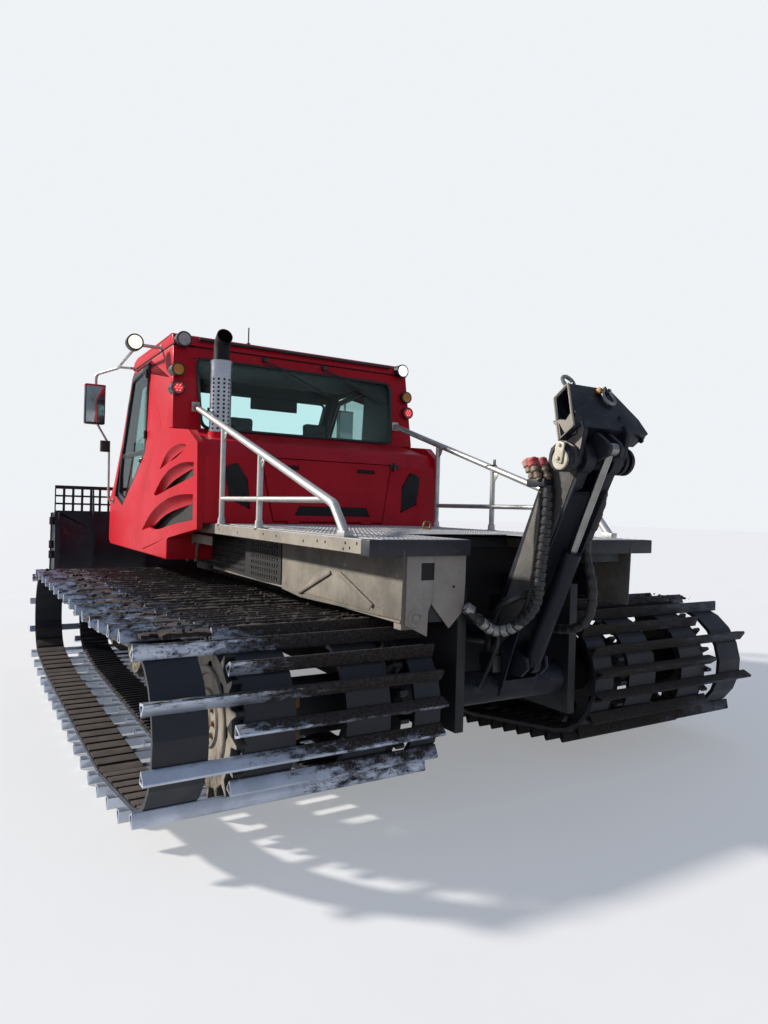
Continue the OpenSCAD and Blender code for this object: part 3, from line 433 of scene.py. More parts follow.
def ramp(tree, value, low, high):
    """Soft step of a value from 0 to 1, between low and high."""
    values = {0: value, 1: low, 2: high}
    return wire(tree, "ShaderNodeMapRange", values, interpolation_type="SMOOTHSTEP").outputs[0]


def cloud(tree, vector, scale, detail=4.0, roughness=0.55):
    """Noise at a place."""
    return wire(tree, "ShaderNodeTexNoise", {"Vector": vector, "Scale": scale, "Detail": detail,
        "Roughness": roughness}).outputs[0]


def stretched(tree, place, share):
    """Place whose x is scaled, so that a pattern read at it runs across the machine."""
    scale = wire(tree, "ShaderNodeCombineXYZ", {0: share, 1: 1.0, 2: 1.0}).outputs[0]
    return wire(tree, "ShaderNodeVectorMath", {0: place, 1: scale}, operation="MULTIPLY").outputs[0]


def group(name, inputs, outputs):
    """Starts a node group: its tree, inputs and outputs, and the surface's own coordinates."""
    tree = bpy.data.node_groups.new(name, "ShaderNodeTree")
    for label, kind, value in inputs:
        tree.interface.new_socket(name=label, in_out="INPUT", socket_type=kind).default_value = value
    for label, kind in outputs:
        tree.interface.new_socket(name=label, in_out="OUTPUT", socket_type=kind)
    ins = tree.nodes.new("NodeGroupInput").outputs
    outs = tree.nodes.new("NodeGroupOutput").inputs
    place = tree.nodes.new("ShaderNodeTexCoord").outputs
    return tree, ins, outs, place


NUMBER = "NodeSocketFloat"
COLOUR = "NodeSocketColor"


def patchy_paint():
    """Two tones of one paint in soft patches, with fine speckle."""
    tree, ins, outs, place = group(
        "patchy_paint",
        [("Tone", COLOUR, (1, 1, 1, 1)), ("Aged", COLOUR, (1, 1, 1, 1)), ("Scale", NUMBER, 3.0)],
        [("Colour", COLOUR), ("Patch", NUMBER)],
    )
    broad = cloud(tree, place["Object"], ins["Scale"], 5.0, 0.6)
    fine = cloud(tree, place["Object"], sums(tree, "MULTIPLY", ins["Scale"], 23.0), 3.0)
    patch = ramp(tree, sums(tree, "ADD", sums(tree, "MULTIPLY", broad, 0.75),
        sums(tree, "MULTIPLY", fine, 0.25)), 0.38, 0.62)
    tree.links.new(patch, outs["Patch"])
    tree.links.new(tint(tree, patch, ins["Tone"], ins["Aged"]), outs["Colour"])
    return tree


def caked_soil():
    """Mask of soil that settles on upward faces and low down, broken up at two scales."""
    tree, ins, outs, place = group(
        "caked_soil",
        [("Amount", NUMBER, 0.3), ("Upward", NUMBER, 0.3), ("Low", NUMBER, 0.3),
            ("Below", NUMBER, 1.0), ("Scale", NUMBER, 6.0),
         ("Softness", NUMBER, 0.15), ("Stretch", NUMBER, 1.0), ("Inward", NUMBER, 0.0)],
        [("Mask", NUMBER), ("Height", NUMBER)],
    )
    facing = wire(tree, "ShaderNodeSeparateXYZ", {0: place["Normal"]}).outputs[2]
    where = wire(tree, "ShaderNodeSeparateXYZ", {0: place["Object"]}).outputs
    up = sums(tree, "MULTIPLY", ramp(tree, facing, 0.2, 0.9), ins["Upward"])
    low = sums(tree, "MULTIPLY", ramp(tree, sums(tree, "SUBTRACT", ins["Below"],
        where[2]), 0.0, 0.5), ins["Low"])
    across = ramp(tree, sums(tree, "ABSOLUTE", where[0]), 1.95, 1.0)
    inward = sums(tree, "MULTIPLY", across, ins["Inward"])
    level = sums(tree, "ADD", sums(tree, "ADD", up, low), sums(tree, "ADD", ins["Amount"], inward))
    spread = stretched(tree, place["Object"], ins["Stretch"])
    coarse = cloud(tree, spread, ins["Scale"], 6.0, 0.68)
    fine = cloud(tree, spread, sums(tree, "MULTIPLY", ins["Scale"], 9.0), 4.0, 0.7)
    grain = sums(tree, "ADD", sums(tree, "MULTIPLY", coarse, 0.65), sums(tree, "MULTIPLY", fine, 0.35))
    edge = sums(tree, "SUBTRACT", 0.86, level)
    mask = ramp(tree, grain, edge, sums(tree, "ADD", edge, ins["Softness"]))
    tree.links.new(mask, outs["Mask"])
    tree.links.new(sums(tree, "MULTIPLY", mask, sums(tree, "ADD", fine, 0.4)), outs["Height"])
    return tree


def rubbed_edge():
    """Mask of rounded edges where the paint has rubbed through in places."""
    tree, ins, outs, place = group("rubbed_edge", [("Amount", NUMBER, 0.5),
        ("Scale", NUMBER, 14.0)], [("Mask", NUMBER)])
    edge = wire(tree, "ShaderNodeAttribute", attribute_name="edge").outputs["Fac"]
    patches = ramp(tree, cloud(tree, place["Object"], ins["Scale"], 5.0, 0.7),
        sums(tree, "SUBTRACT", 0.85, ins["Amount"]), 0.9)
    tree.links.new(sums(tree, "MULTIPLY", edge, patches, True), outs["Mask"])
    return tree


def fine_grain():
    """Height of a fine cast or brushed grain."""
    tree, ins, outs, place = group("fine_grain", [("Scale", NUMBER, 200.0),
        ("Stretch", NUMBER, 1.0)], [("Height", NUMBER)])
    spread = stretched(tree, place["Object"], ins["Stretch"])
    tree.links.new(cloud(tree, spread, ins["Scale"], 3.0), outs["Height"])
    return tree


GROUPS = {}


def placed(tree, name, values):
    """A shared group placed in a material."""
    if name not in GROUPS:
        makers = (patchy_paint, caked_soil, rubbed_edge, fine_grain)
        GROUPS[name] = {make.__name__: make for make in makers}[name]()
    node = wire(tree, "ShaderNodeGroup", node_tree=GROUPS[name])
    for key, value in values.items():
        node.inputs[key].default_value = opaque(value)
    return node


def surface(
    name, tone, aged, rough, scale, soil, soil_scale, softness, soil_tones,
    metal=0.0, coat=0.0, worn=None, worn_amount=0.35, grain=(180.0, 1.0, 0.15), streaks=(1.0, 0.0), gloss=0.5,
):
    """Painted, cast or bare surface with patches, grain, rubbed edges and soil.

    soil is its amount everywhere, on upward faces and low down, and the height below which it gathers.
    """
    material, tree, shader = new_material(name)
    paint = placed(tree, "patchy_paint", {"Tone": tone, "Aged": aged, "Scale": scale}).outputs
    colour = paint["Colour"]
    roughness = blend_values(tree, paint["Patch"], max(0.05, rough - 0.06), rough + 0.06)
    if worn:
        rubbed = placed(tree, "rubbed_edge", {"Amount": worn_amount}).outputs["Mask"]
        colour = tint(tree, rubbed, colour, worn)
        roughness = blend_values(tree, rubbed, roughness, 0.42)
    dirt = placed(
        tree, "caked_soil",
        {"Amount": soil[0], "Upward": soil[1], "Low": soil[2], "Below": soil[3],
            "Scale": soil_scale, "Softness": softness,
         "Stretch": streaks[0], "Inward": streaks[1]},
    ).outputs
    dark, pale = soil_tones or (tuple(colours().mud), tuple(colours().dust))
    earth = placed(tree, "patchy_paint", {"Tone": dark, "Aged": pale,
        "Scale": soil_scale * 2.5}).outputs["Colour"]
    colour = tint(tree, dirt["Mask"], colour, earth)
    roughness = blend_values(tree, dirt["Mask"], roughness, 0.93)
    if metal:
        feed(tree, shader, {"Metallic": blend_values(tree, dirt["Mask"], metal, 0.0)})
    texture = placed(tree, "fine_grain", {"Scale": grain[0], "Stretch": grain[1]}).outputs["Height"]
    relief = sums(tree, "ADD", sums(tree, "MULTIPLY", texture, grain[2]),
        sums(tree, "MULTIPLY", dirt["Height"], 1.4))
    bump = wire(tree, "ShaderNodeBump", {"Strength": 0.55, "Distance": 0.004, "Height": relief})
    feed(tree, shader, {"Base Color": colour, "Roughness": roughness, "Normal": bump.outputs[0],
        "Specular IOR Level": gloss})
    if coat:
        feed(tree, shader, {"Coat Weight": coat, "Coat Roughness": 0.12})
    return material


def clear_glass(name, tone):
    """Tinted pane with a film of dust."""
    material, tree, shader = new_material(name)
    film = placed(tree, "caked_soil", {"Amount": 0.27, "Upward": 0.0, "Low": 0.1, "Below": 2.4, "Scale": 3.0,
        "Softness": 0.6}).outputs["Mask"]
    colour = tint(tree, film, tuple(tone), (0.8, 0.82, 0.8))
    roughness = blend_values(tree, film, 0.02, 0.12)
    feed(tree, shader, {"Base Color": colour, "Roughness": roughness, "Transmission Weight": 1.0, "IOR": 1.2})
    return material


def lamp_lens(name, tone, glow, glow_tone, clearness=0.4):
    """Ribbed lamp lens, lit or not."""
    material, tree, shader = new_material(name)
    paint = placed(tree, "patchy_paint", {"Tone": tone, "Aged": tuple(c * 0.7 for c in tone),
        "Scale": 30.0}).outputs["Colour"]
    place = wire(tree, "ShaderNodeTexCoord").outputs["Object"]
    ribs = wire(tree, "ShaderNodeTexWave", {"Vector": place, "Scale": 26.0},
        bands_direction="DIAGONAL").outputs[1]
    bump = wire(tree, "ShaderNodeBump", {"Strength": 0.3, "Distance": 0.002, "Height": ribs})
    roughness = blend_values(tree, ribs, 0.06, 0.16)
    feed(tree, shader, {"Base Color": paint, "Roughness": roughness, "Normal": bump.outputs[0],
        "Transmission Weight": clearness})
    if glow:
        hot = tint(tree, ribs, glow_tone, tuple(min(1.0, c * 1.15 + 0.05) for c in glow_tone))
        feed(tree, shader, {"Emission Color": hot, "Emission Strength": glow})
    return material


FINISHES = {}


def shade(colour, share):
    """A colour made darker or lighter by a share."""
    return tuple(part * share for part in colour)


def surface_table(c):
    """Rows of what surface takes: the tones, the roughness, the soil, and what else differs by name."""
    red, deep, beige, black, bar, mud, dust = (
        tuple(x) for x in (c.red, c.red_deep, c.beige, c.black, c.bar, c.mud, c.dust)
    )
    return {
        "red_paint": [red, deep, 0.42, 1.6, (0.05, 0.02, 0.12, 1.5), 9, 0.5,
            ((0.32, 0.012, 0.018), (0.4, 0.05, 0.045)),
            {"coat": 0.04, "gloss": 0.22, "worn": (0.7, 0.14, 0.13), "worn_amount": 0.25,
            "grain": (40, 1, 0.05)}],
        "beige_paint": [beige, shade(beige, 0.72), 0.72, 4, (0.2, 0.2, 0.18, 1.25), 5, 0.35,
            ((0.1, 0.08, 0.06), dust), {"worn": (0.16, 0.1, 0.06)}],
        "deck_plank": [(0.52, 0.52, 0.52), (0.4, 0.39, 0.37), 0.6, 5, (0.24, 0.1, 0.0, 1.0), 4, 0.4,
            ((0.16, 0.13, 0.1), (0.34, 0.31, 0.27)), {"metal": 0.35, "worn": (0.6, 0.6, 0.6)}],
        "galvanised_tube": [(0.6, 0.6, 0.58), (0.46, 0.46, 0.44), 0.42, 9, (0.2, 0.02, 0.0, 1.0), 12, 0.2,
            ((0.2, 0.17, 0.14), (0.35, 0.31, 0.26)), {"metal": 0.65}],
        "black_steel": [black, shade(black, 1.6), 0.46, 4, (0.16, 0.04, 0.08, 0.9), 6, 0.3,
            ((0.02, 0.02, 0.022), (0.06, 0.055, 0.05)),
            {"gloss": 0.3, "worn": (0.1, 0.1, 0.11), "worn_amount": 0.4}],
        "carrier_paint": [(0.009, 0.012, 0.021), (0.015, 0.018, 0.028), 0.5, 3, (0.14, 0.03, 0.1, 0.9), 5,
            0.35, ((0.02, 0.019, 0.018), (0.06, 0.055, 0.05)),
            {"gloss": 0.28, "worn": (0.09, 0.085, 0.08), "worn_amount": 0.4}],
        # Dark navy steel of the deck beams, lifted and blued a little as painted sky light
        "beam_steel_painted_sky": [(0.03, 0.034, 0.044), (0.045, 0.048, 0.056), 0.5, 4, (0.2, 0.04, 0.0, 0.9), 6, 0.3,
            ((0.02, 0.02, 0.022), (0.1, 0.09, 0.08)),
            {"gloss": 0.4, "worn": (0.12, 0.12, 0.13), "worn_amount": 0.4}],
        # A darker copy of the chassis beige with more soil, for the creased panels under the deck
        "panel_beige_darker": [shade(beige, 0.74), shade(beige, 0.5), 0.74, 5, (0.3, 0.1, 0.2, 1.25), 6, 0.3,
            ((0.06, 0.05, 0.045), (0.2, 0.17, 0.14)), {"worn": (0.16, 0.1, 0.06)}],
        "lever_cream": [(0.66, 0.62, 0.5), (0.5, 0.46, 0.36), 0.6, 12, (0.2, 0.0, 0.0, 1.0), 16, 0.3,
            ((0.12, 0.09, 0.07), (0.3, 0.26, 0.2)), {"worn": (0.3, 0.25, 0.18)}],
        "arm_dust": [(0.15, 0.14, 0.125), (0.085, 0.082, 0.078), 0.74, 3, (0.3, 0.05, 0.25, 1.2), 6, 0.25,
            ((0.035, 0.033, 0.032), (0.2, 0.18, 0.15)), {"worn": (0.24, 0.18, 0.13), "grain": (120, 1, 0.8)}],
        # Rusty gold for the drum lugs and inner hubs, kept bright as painted sunlight where the belts shade
        # them
        "rust_painted_sunlit": [(0.5, 0.27, 0.1), (0.36, 0.2, 0.08), 0.6, 14, (0.26, 0.05, 0.0, 0.5), 14, 0.2,
            (mud, (0.3, 0.2, 0.12)), {"metal": 0.2, "worn": (0.6, 0.45, 0.3)}],
        # Chassis beige made much lighter for the deck posts, whose faces turn from the key lamp: painted
        # light
        "post_beige_painted_light": [(0.66, 0.6, 0.51), (0.56, 0.5, 0.42), 0.7, 4, (0.2, 0.0, 0.12, 1.2), 5, 0.35,
            ((0.2, 0.17, 0.13), (0.42, 0.37, 0.3)), {"worn": (0.16, 0.1, 0.06)}],
        # Near-black, painted shade: for the bay between the tracks, the hull's underside and front, the deck
        # props' inner faces, the sprocket drums and the final drives
        "bay_painted_shade": [(0.006, 0.006, 0.008), (0.012, 0.012, 0.014), 0.6, 4, (0.12, 0.0, 0.1, 0.9), 6, 0.3,
            ((0.008, 0.007, 0.007), (0.03, 0.024, 0.02)), {}],
        "dusty_plate": [(0.22, 0.2, 0.175), (0.3, 0.27, 0.23), 0.7, 3, (0.22, 0.05, 0.3, 1.15), 5, 0.35,
            ((0.09, 0.08, 0.07), (0.3, 0.27, 0.22)), {"worn": (0.3, 0.22, 0.15)}],
        "bar_metal": [bar, shade(bar, 0.8), 0.4, 5, (0.355, 0.14, -0.24, 0.85), 30, 0.16,
            (shade(mud, 0.7), (0.085, 0.07, 0.062)),
            {"metal": 0.78, "worn": (0.6, 0.63, 0.7), "grain": (60, 0.1, 0.3), "streaks": (0.4, 0.28)}],
        # The right track's bars: the bar tone cut to a fifth as painted shade, and more soil
        "bar_muddy_shaded": [shade(bar, 0.2), shade(bar, 0.12), 0.6, 6, (0.44, 0.14, 0.1, 0.4), 22, 0.3,
            (mud, (0.06, 0.046, 0.036)), {"metal": 0.4, "worn": (0.3, 0.32, 0.36), "grain": (60, 0.1, 0.3),
            "streaks": (0.3, 0.2)}],
        "belt_rubber": [(0.009, 0.011, 0.018), (0.014, 0.017, 0.026), 0.55, 5, (0.2, 0.12, 0.06, 0.3), 7,
            0.25, ((0.012, 0.01, 0.01), (0.035, 0.028, 0.023)), {"grain": (120, 1, 0.4)}],
        "wet_mud": [mud, shade(mud, 2.1), 0.9, 14, (0.3, 0.1, 0.0, 0.5), 16, 0.4,
            (shade(mud, 0.6), (0.12, 0.1, 0.09)), {"grain": (90, 1, 2.2)}],
        "brown_mud": [(0.05, 0.038, 0.032), (0.085, 0.066, 0.056), 0.92, 9, (0.25, 0.05, 0.0, 0.5), 12, 0.4,
            (mud, (0.2, 0.15, 0.12)), {"grain": (90, 1, 1.2)}],
        "cream_steel": [(0.36, 0.32, 0.26), (0.25, 0.22, 0.18), 0.66, 7, (0.3, 0.05, 0.3, 0.6), 12, 0.25,
            (mud, (0.2, 0.16, 0.12)), {"worn": (0.2, 0.12, 0.07)}],
        "rusty_steel": [(0.2, 0.09, 0.035), (0.34, 0.2, 0.09), 0.78, 14, (0.28, 0.1, 0.1, 0.5), 9, 0.15,
            (mud, (0.14, 0.1, 0.07)), {"metal": 0.2, "worn": (0.4, 0.3, 0.2)}],
        "cast_iron": [(0.04, 0.04, 0.042), (0.07, 0.066, 0.062), 0.7, 8, (0.3, 0.1, 0.2, 1.0), 7, 0.15,
            (mud, (0.1, 0.08, 0.065)), {"metal": 0.3}],
        "tyre_rubber": [(0.02, 0.02, 0.022), (0.04, 0.038, 0.036), 0.8, 6,
            (0.3, 0.1, 0.3, 0.6), 8, 0.15, None, {}],
        "dark_trim": [(0.03, 0.031, 0.033), (0.045, 0.045, 0.046), 0.65, 8, (0.1, 0.1, 0.0, 1.0), 10, 0.5,
            ((0.06, 0.055, 0.05), (0.12, 0.11, 0.1)), {"grain": (300, 1, 0.5)}],
        "black_plastic": [(0.016, 0.016, 0.018), (0.03, 0.03, 0.032), 0.42, 8, (0.14, 0.1, 0.0, 1.0), 10, 0.5,
            ((0.06, 0.055, 0.05), (0.14, 0.13, 0.11)), {"grain": (400, 1, 0.3)}],
        "mesh_black": [(0.003, 0.003, 0.004), (0.006, 0.006, 0.007), 0.7, 12, (0.1, 0.0, 0.0, 1.0), 8, 0.5,
            ((0.006, 0.006, 0.006), (0.014, 0.013, 0.012)), {"grain": (220, 1, 1.0)}],
        "burnt_pipe": [(0.008, 0.007, 0.009), (0.016, 0.014, 0.014), 0.6, 7, (0.12, 0.03, 0.0, 1.0), 9, 0.3,
            ((0.01, 0.009, 0.008), (0.06, 0.04, 0.028)), {"gloss": 0.25, "worn": (0.1, 0.09, 0.085)}],
        "soot": [(0.004, 0.004, 0.004), (0.008, 0.008, 0.008), 0.9, 9, (0.1, 0.0, 0.0, 1.0), 6, 0.15,
            ((0.004, 0.004, 0.004), (0.01, 0.01, 0.01)), {}],
        "bright_chrome": [(0.6, 0.62, 0.66), (0.48, 0.5, 0.54), 0.24, 8, (0.14, 0.0, 0.0, 1.0), 10, 0.3,
            ((0.2, 0.18, 0.15), (0.35, 0.32, 0.28)), {"metal": 0.95}],
        "rod_chrome": [(0.26, 0.255, 0.245), (0.2, 0.195, 0.19), 0.26, 9, (0.14, 0.0, 0.05, 1.0), 14, 0.3,
            ((0.08, 0.07, 0.06), (0.22, 0.2, 0.17)), {"metal": 0.92, "grain": (40, 1, 0.1)}],
        "shackle_steel": [(0.32, 0.32, 0.32), (0.2, 0.2, 0.2), 0.4, 16, (0.2, 0.0, 0.0, 1.0), 14, 0.3,
            ((0.12, 0.09, 0.06), (0.2, 0.15, 0.1)), {"metal": 0.8}],
        "yellow_pin": [(0.62, 0.3, 0.04), (0.45, 0.2, 0.03), 0.5, 20,
            (0.2, 0.0, 0.0, 1.0), 20, 0.15, None, {}],
        "red_cap": [(0.55, 0.04, 0.05), (0.62, 0.2, 0.18), 0.55, 18, (0.22, 0.02, 0.0, 1.0), 20, 0.3,
            ((0.12, 0.06, 0.05), (0.4, 0.3, 0.24)), {}],
        "pale_cap": [(0.5, 0.26, 0.22), (0.56, 0.38, 0.32), 0.6, 20, (0.28, 0.02, 0.0, 1.0), 20, 0.3,
            ((0.3, 0.2, 0.16), (0.5, 0.42, 0.36)), {}],
        "coupler_metal": [(0.38, 0.3, 0.22), (0.26, 0.2, 0.15), 0.5, 22, (0.25, 0.05, 0.0, 1.0), 18, 0.15,
            ((0.1, 0.07, 0.05), (0.3, 0.25, 0.2)), {"metal": 0.5}],
        "hose_rubber": [(0.01, 0.01, 0.012), (0.018, 0.018, 0.019), 0.45, 10, (0.16, 0.05, 0.05, 1.0), 12,
            0.3, ((0.02, 0.018, 0.017), (0.07, 0.062, 0.055)), {"grain": (160, 1, 0.5)}],
        "dusty_hose": [(0.02, 0.02, 0.021), (0.035, 0.034, 0.033), 0.55, 10, (0.24, 0.05, 0.05, 1.0), 12, 0.3,
            ((0.06, 0.055, 0.05), (0.16, 0.14, 0.12)), {"grain": (160, 1, 0.5)}],
        "hose_wrap": [(0.46, 0.45, 0.43), (0.3, 0.29, 0.27), 0.4, 12, (0.25, 0.02, 0.1, 1.0), 14, 0.3,
            ((0.05, 0.045, 0.04), (0.2, 0.18, 0.15)), {"metal": 0.3}],
        "seat_cloth": [(0.03, 0.03, 0.034), (0.055, 0.055, 0.06), 0.9, 30, (0.1, 0.1, 0.0, 1.0), 6, 0.15,
            None, {"grain": (500, 1, 1.5)}],
        "mirror_face": [(0.35, 0.4, 0.42), (0.25, 0.28, 0.28), 0.1, 5, (0.12, 0.0, 0.0, 1.0), 6, 0.5,
            ((0.15, 0.15, 0.14), (0.3, 0.3, 0.28)), {"metal": 0.9, "grain": (5, 1, 0.0)}],
    }


# Each lamp lens: its tone, how much it glows, the glow's tone and how clear it is
LENSES = {
    "lens_clear": [(0.74, 0.62, 0.62), 0.0, None, 0.0],
    "lens_white_lit": [(0.95, 0.95, 0.9), 1.6, (1.0, 1.0, 0.96)],
    "lens_cream_lit": [(0.95, 0.9, 0.7), 1.3, (1.0, 0.88, 0.6)],
    "lens_amber": [(0.62, 0.2, 0.02), 0.1, (1.0, 0.35, 0.02), 0.3],
    "lens_red": [(0.5, 0.01, 0.02), 0.25, (1.0, 0.03, 0.04), 0.3],
    "led_red": [(0.9, 0.03, 0.05), 1.6, (1.0, 0.1, 0.12), 0.0],
}


def make_finish(name):
    """Makes the material of a finish."""
    c = colours()
    if name in LENSES:
        return lamp_lens(name, *LENSES[name])
    if name in ("window_glass", "door_tint"):
        return clear_glass(name, c.glass if name == "window_glass" else (0.34, 0.46, 0.44))
    *row, rest = surface_table(c)[name]
    return surface(name, *row, **rest)


def finish(name):
    """The material of a finish, made when it is first asked for."""
    if name not in FINISHES:
        FINISHES[name] = make_finish(name)
    return FINISHES[name]


def dress(node, *names):
    """Gives a CAD node that stays as it is its finishes."""
    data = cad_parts[node].data
    data.materials.clear()
    for n in names:
        data.materials.append(finish(n))
    if "edge" not in data.attributes:
        data.attributes.new("edge", "FLOAT", "POINT")


# The track's loop, as the CAD source lays it out, in mm
AXLE_Z = 560
SPROCKET = Vector((0, AXLE_Z))
IDLER = Vector((-4040, 496))
WRAP = 378
BAR_HEIGHT = 66
BELT_THICK = 24
BAR_COUNT = 76
SAG = Vector((-1040, 866))
GROUND = (-800, -3400)
BELTS = [(660, 160), (1010, 250), (1525, 250), (1935, 240)]
BAR_ANGLES = {1: 27, -1: 31}


def aim(c, p):
    """Angle from one point to another."""
    return math.atan2(p[1] - c[1], p[0] - c[0])


def tangent(c, r, p, side):
    """Angle on a circle where the line from a point touches it."""
    return aim(c, p) + side * math.acos(r / (p - c).length)


def wrap_arc(c, r, a0, a1):
    """Points on a circle between two angles, in ten steps."""
    angles = [a0 + (a1 - a0) * i / 10 for i in range(11)]
    return [c + r * Vector((math.cos(a), math.sin(a))) for a in angles]


def loop_line():
    """Outer line of the belts: round the sprocket, along the ground, round the idler, and sagging back."""
    g0, g1 = Vector((GROUND[0], BAR_HEIGHT)), Vector((GROUND[1], BAR_HEIGHT))
    rear = wrap_arc(SPROCKET, WRAP, tangent(SPROCKET, WRAP, SAG, -1), tangent(SPROCKET, WRAP, g0, 1))
    front = wrap_arc(IDLER, WRAP, tangent(IDLER, WRAP, g1, -1), tangent(IDLER, WRAP, SAG, 1) - math.tau)
    return rear + [g0, g1] + front + [SAG]


LOOP = loop_line()
EDGES = [(LOOP[i], LOOP[(i + 1) % len(LOOP)]) for i in range(len(LOOP))]
LOOP_LENGTH = sum((b - a).length for a, b in EDGES)
PITCH = LOOP_LENGTH / BAR_COUNT


def on_loop(s):
    """Point of the belts' outer line at a distance along it, with the direction there."""
    s %= LOOP_LENGTH
    for a, b in EDGES:
        step = (b - a).length
        if s <= step:
            return a + (b - a) * (s / step), math.atan2(b[1] - a[1], b[0] - a[0])
        s -= step
    return LOOP[0], 0.0


def bar_start(side):
    """Where the first bar of a track sits along its loop, so that the bars are in step with the teeth."""
    return (aim(SPROCKET, LOOP[0]) - math.radians(BAR_ANGLES[side])) * WRAP


def on_track(s, x, out):
    """Point on a track at a distance along the loop, across it, and outwards from the belts."""
    p, a = on_loop(s)
    q = p + out * Vector((-math.sin(a), math.cos(a)))
    return at(x, q[0], q[1])


def track_matrix(s, x, out):
    """Matrix with its X across the track, Y along the loop and Z outwards."""
    _, a = on_loop(s)
    m = Matrix(((1, 0, 0), (0, math.cos(a), -math.sin(a)), (0, math.sin(a), math.cos(a)))).to_4x4()
    m.translation = on_track(s, x, out)
    return m


class Piece:
    """What every operator of the groomer shares."""

    bl_options = {"REGISTER", "UNDO"}


class GROOMER_OT_cab(Piece, bpy.types.Operator):
    """Cab shell and roof with rounded panels, dark lining and seams"""

    bl_idname = "groomer.cab"
    bl_label = "Cab"

    def execute(self, context):
        shell = refined("cab_body", "cab_shell", sizes().panel_round, 3, shortest=0.06)
        middle = at(0, -3900, 2050)

        def side(p):
            return 1 if p.normal.dot((p.center - middle).normalized()) < -0.2 else 0

        done(shell, CHASSIS, "body_red", "red_paint", "dark_trim", replaces=["cab_body"], choose=side)
        roof = refined("roof", "cab_roof", sizes().panel_round * 1.3, 4, shortest=0.06)
        done(roof, CHASSIS, "body_red", "red_paint", "dark_trim", replaces=["roof"],
            choose=lambda p: 1 if p.normal.z < -0.5 else 0)
        seams = [
            tube("seam", [at(1196, -2800, 2955), at(1120, -2803, 2958), at(1060, -2801, 2925),
                at(1010, -2796, 2885)], 4, 8),
            tube("seam", [at(1000, -2805, 2962), at(0, -2805, 2962)], 3, 8, False),
        ]
        done(mirrored(join("roof_seams", seams)), CHASSIS, "cab_trim", "dark_trim")
        bar = tube("roof_bar", [at(-1020, -2822, 2985), at(1020, -2822, 2985)], 9, 12, False)
        done(bar, CHASSIS, "tube_silver", "galvanised_tube")
        return {"FINISHED"}


def smooth_outline(points):
    """Outline in two numbers with every corner turned into a curve."""
    share = 0.3
    out = []
    n = len(points)
    for i in range(n):
        a, b, c = (Vector(points[k % n]) for k in (i - 1, i, i + 1))
        for t in (0.0, 0.25, 0.5, 0.75, 1.0):
            q = b + (a - b) * share * (1 - t) ** 2 + (c - b) * share * t**2
            out.append((q.x, q.y))
    return out


def flow(points, n=5):
    """Smooth line through points, with n steps between each two."""
    out = []
    last = len(points) - 1
    for i in range(last):
        a, b, c, d = (Vector(points[max(0, min(last, k))]) for k in (i - 1, i, i + 1, i + 2))
        for k in range(n):
            t = k / n
            place = (2 * b) + (c - a) * t
            place += (2 * a - 5 * b + 4 * c - d) * t * t
            place += (3 * b - a - 3 * c + d) * t**3
            out.append(0.5 * place)
    return [*out, Vector(points[-1])]


def rear_skin(z):
    """Place of the cab's leaning rear face at a height."""
    return -2680 - (z - 2200) * 120 / 760


def rounded(points, radius, steps=5):
    """Closed outline with its corners rounded."""
    out = []
    n = len(points)
    for i in range(n):
        a, b, c = points[i - 1], points[i], points[(i + 1) % n]
        u, v = (a - b).normalized(), (c - b).normalized()
        for k in range(steps + 1):
            t = k / steps
            out.append(b + u * radius * (1 - t) ** 2 + v * radius * t**2)
    return out


class GROOMER_OT_windows(Piece, bpy.types.Operator):
    """Rubber seals of the fixed windows, and the finish of all glass"""

    bl_idname = "groomer.windows"
    bl_label = "Windows"

    def execute(self, context):
        s = sizes()
        corners = [(-962, 2248), (962, 2248), (992, 2862), (-992, 2862)]
        rear = rounded([at(x, rear_skin(z) + 2, z) for x, z in corners], 0.09)
        front = [(-1062, 1828), (1062, 1828), (1082, 2842), (-1082, 2842)]
        screen = rounded([at(x, -5020 - (1780 - z) * 620 / 1120 - 2, z) for x, z in front], 0.08)
        seals = [
            tube("seal", rear, s.seal_radius / MM, 12, closed=True, resolution=2),
            tube("seal", screen, s.seal_radius / MM, 12, closed=True, resolution=2),
        ]
        done(join("window_seals", seals), CHASSIS, "cab_trim", "black_plastic")
        dress("glass_fixed", "window_glass")
        for node in ("door_glass_left", "door_glass_right"):
            dress(node, "door_tint")
        return {"FINISHED"}


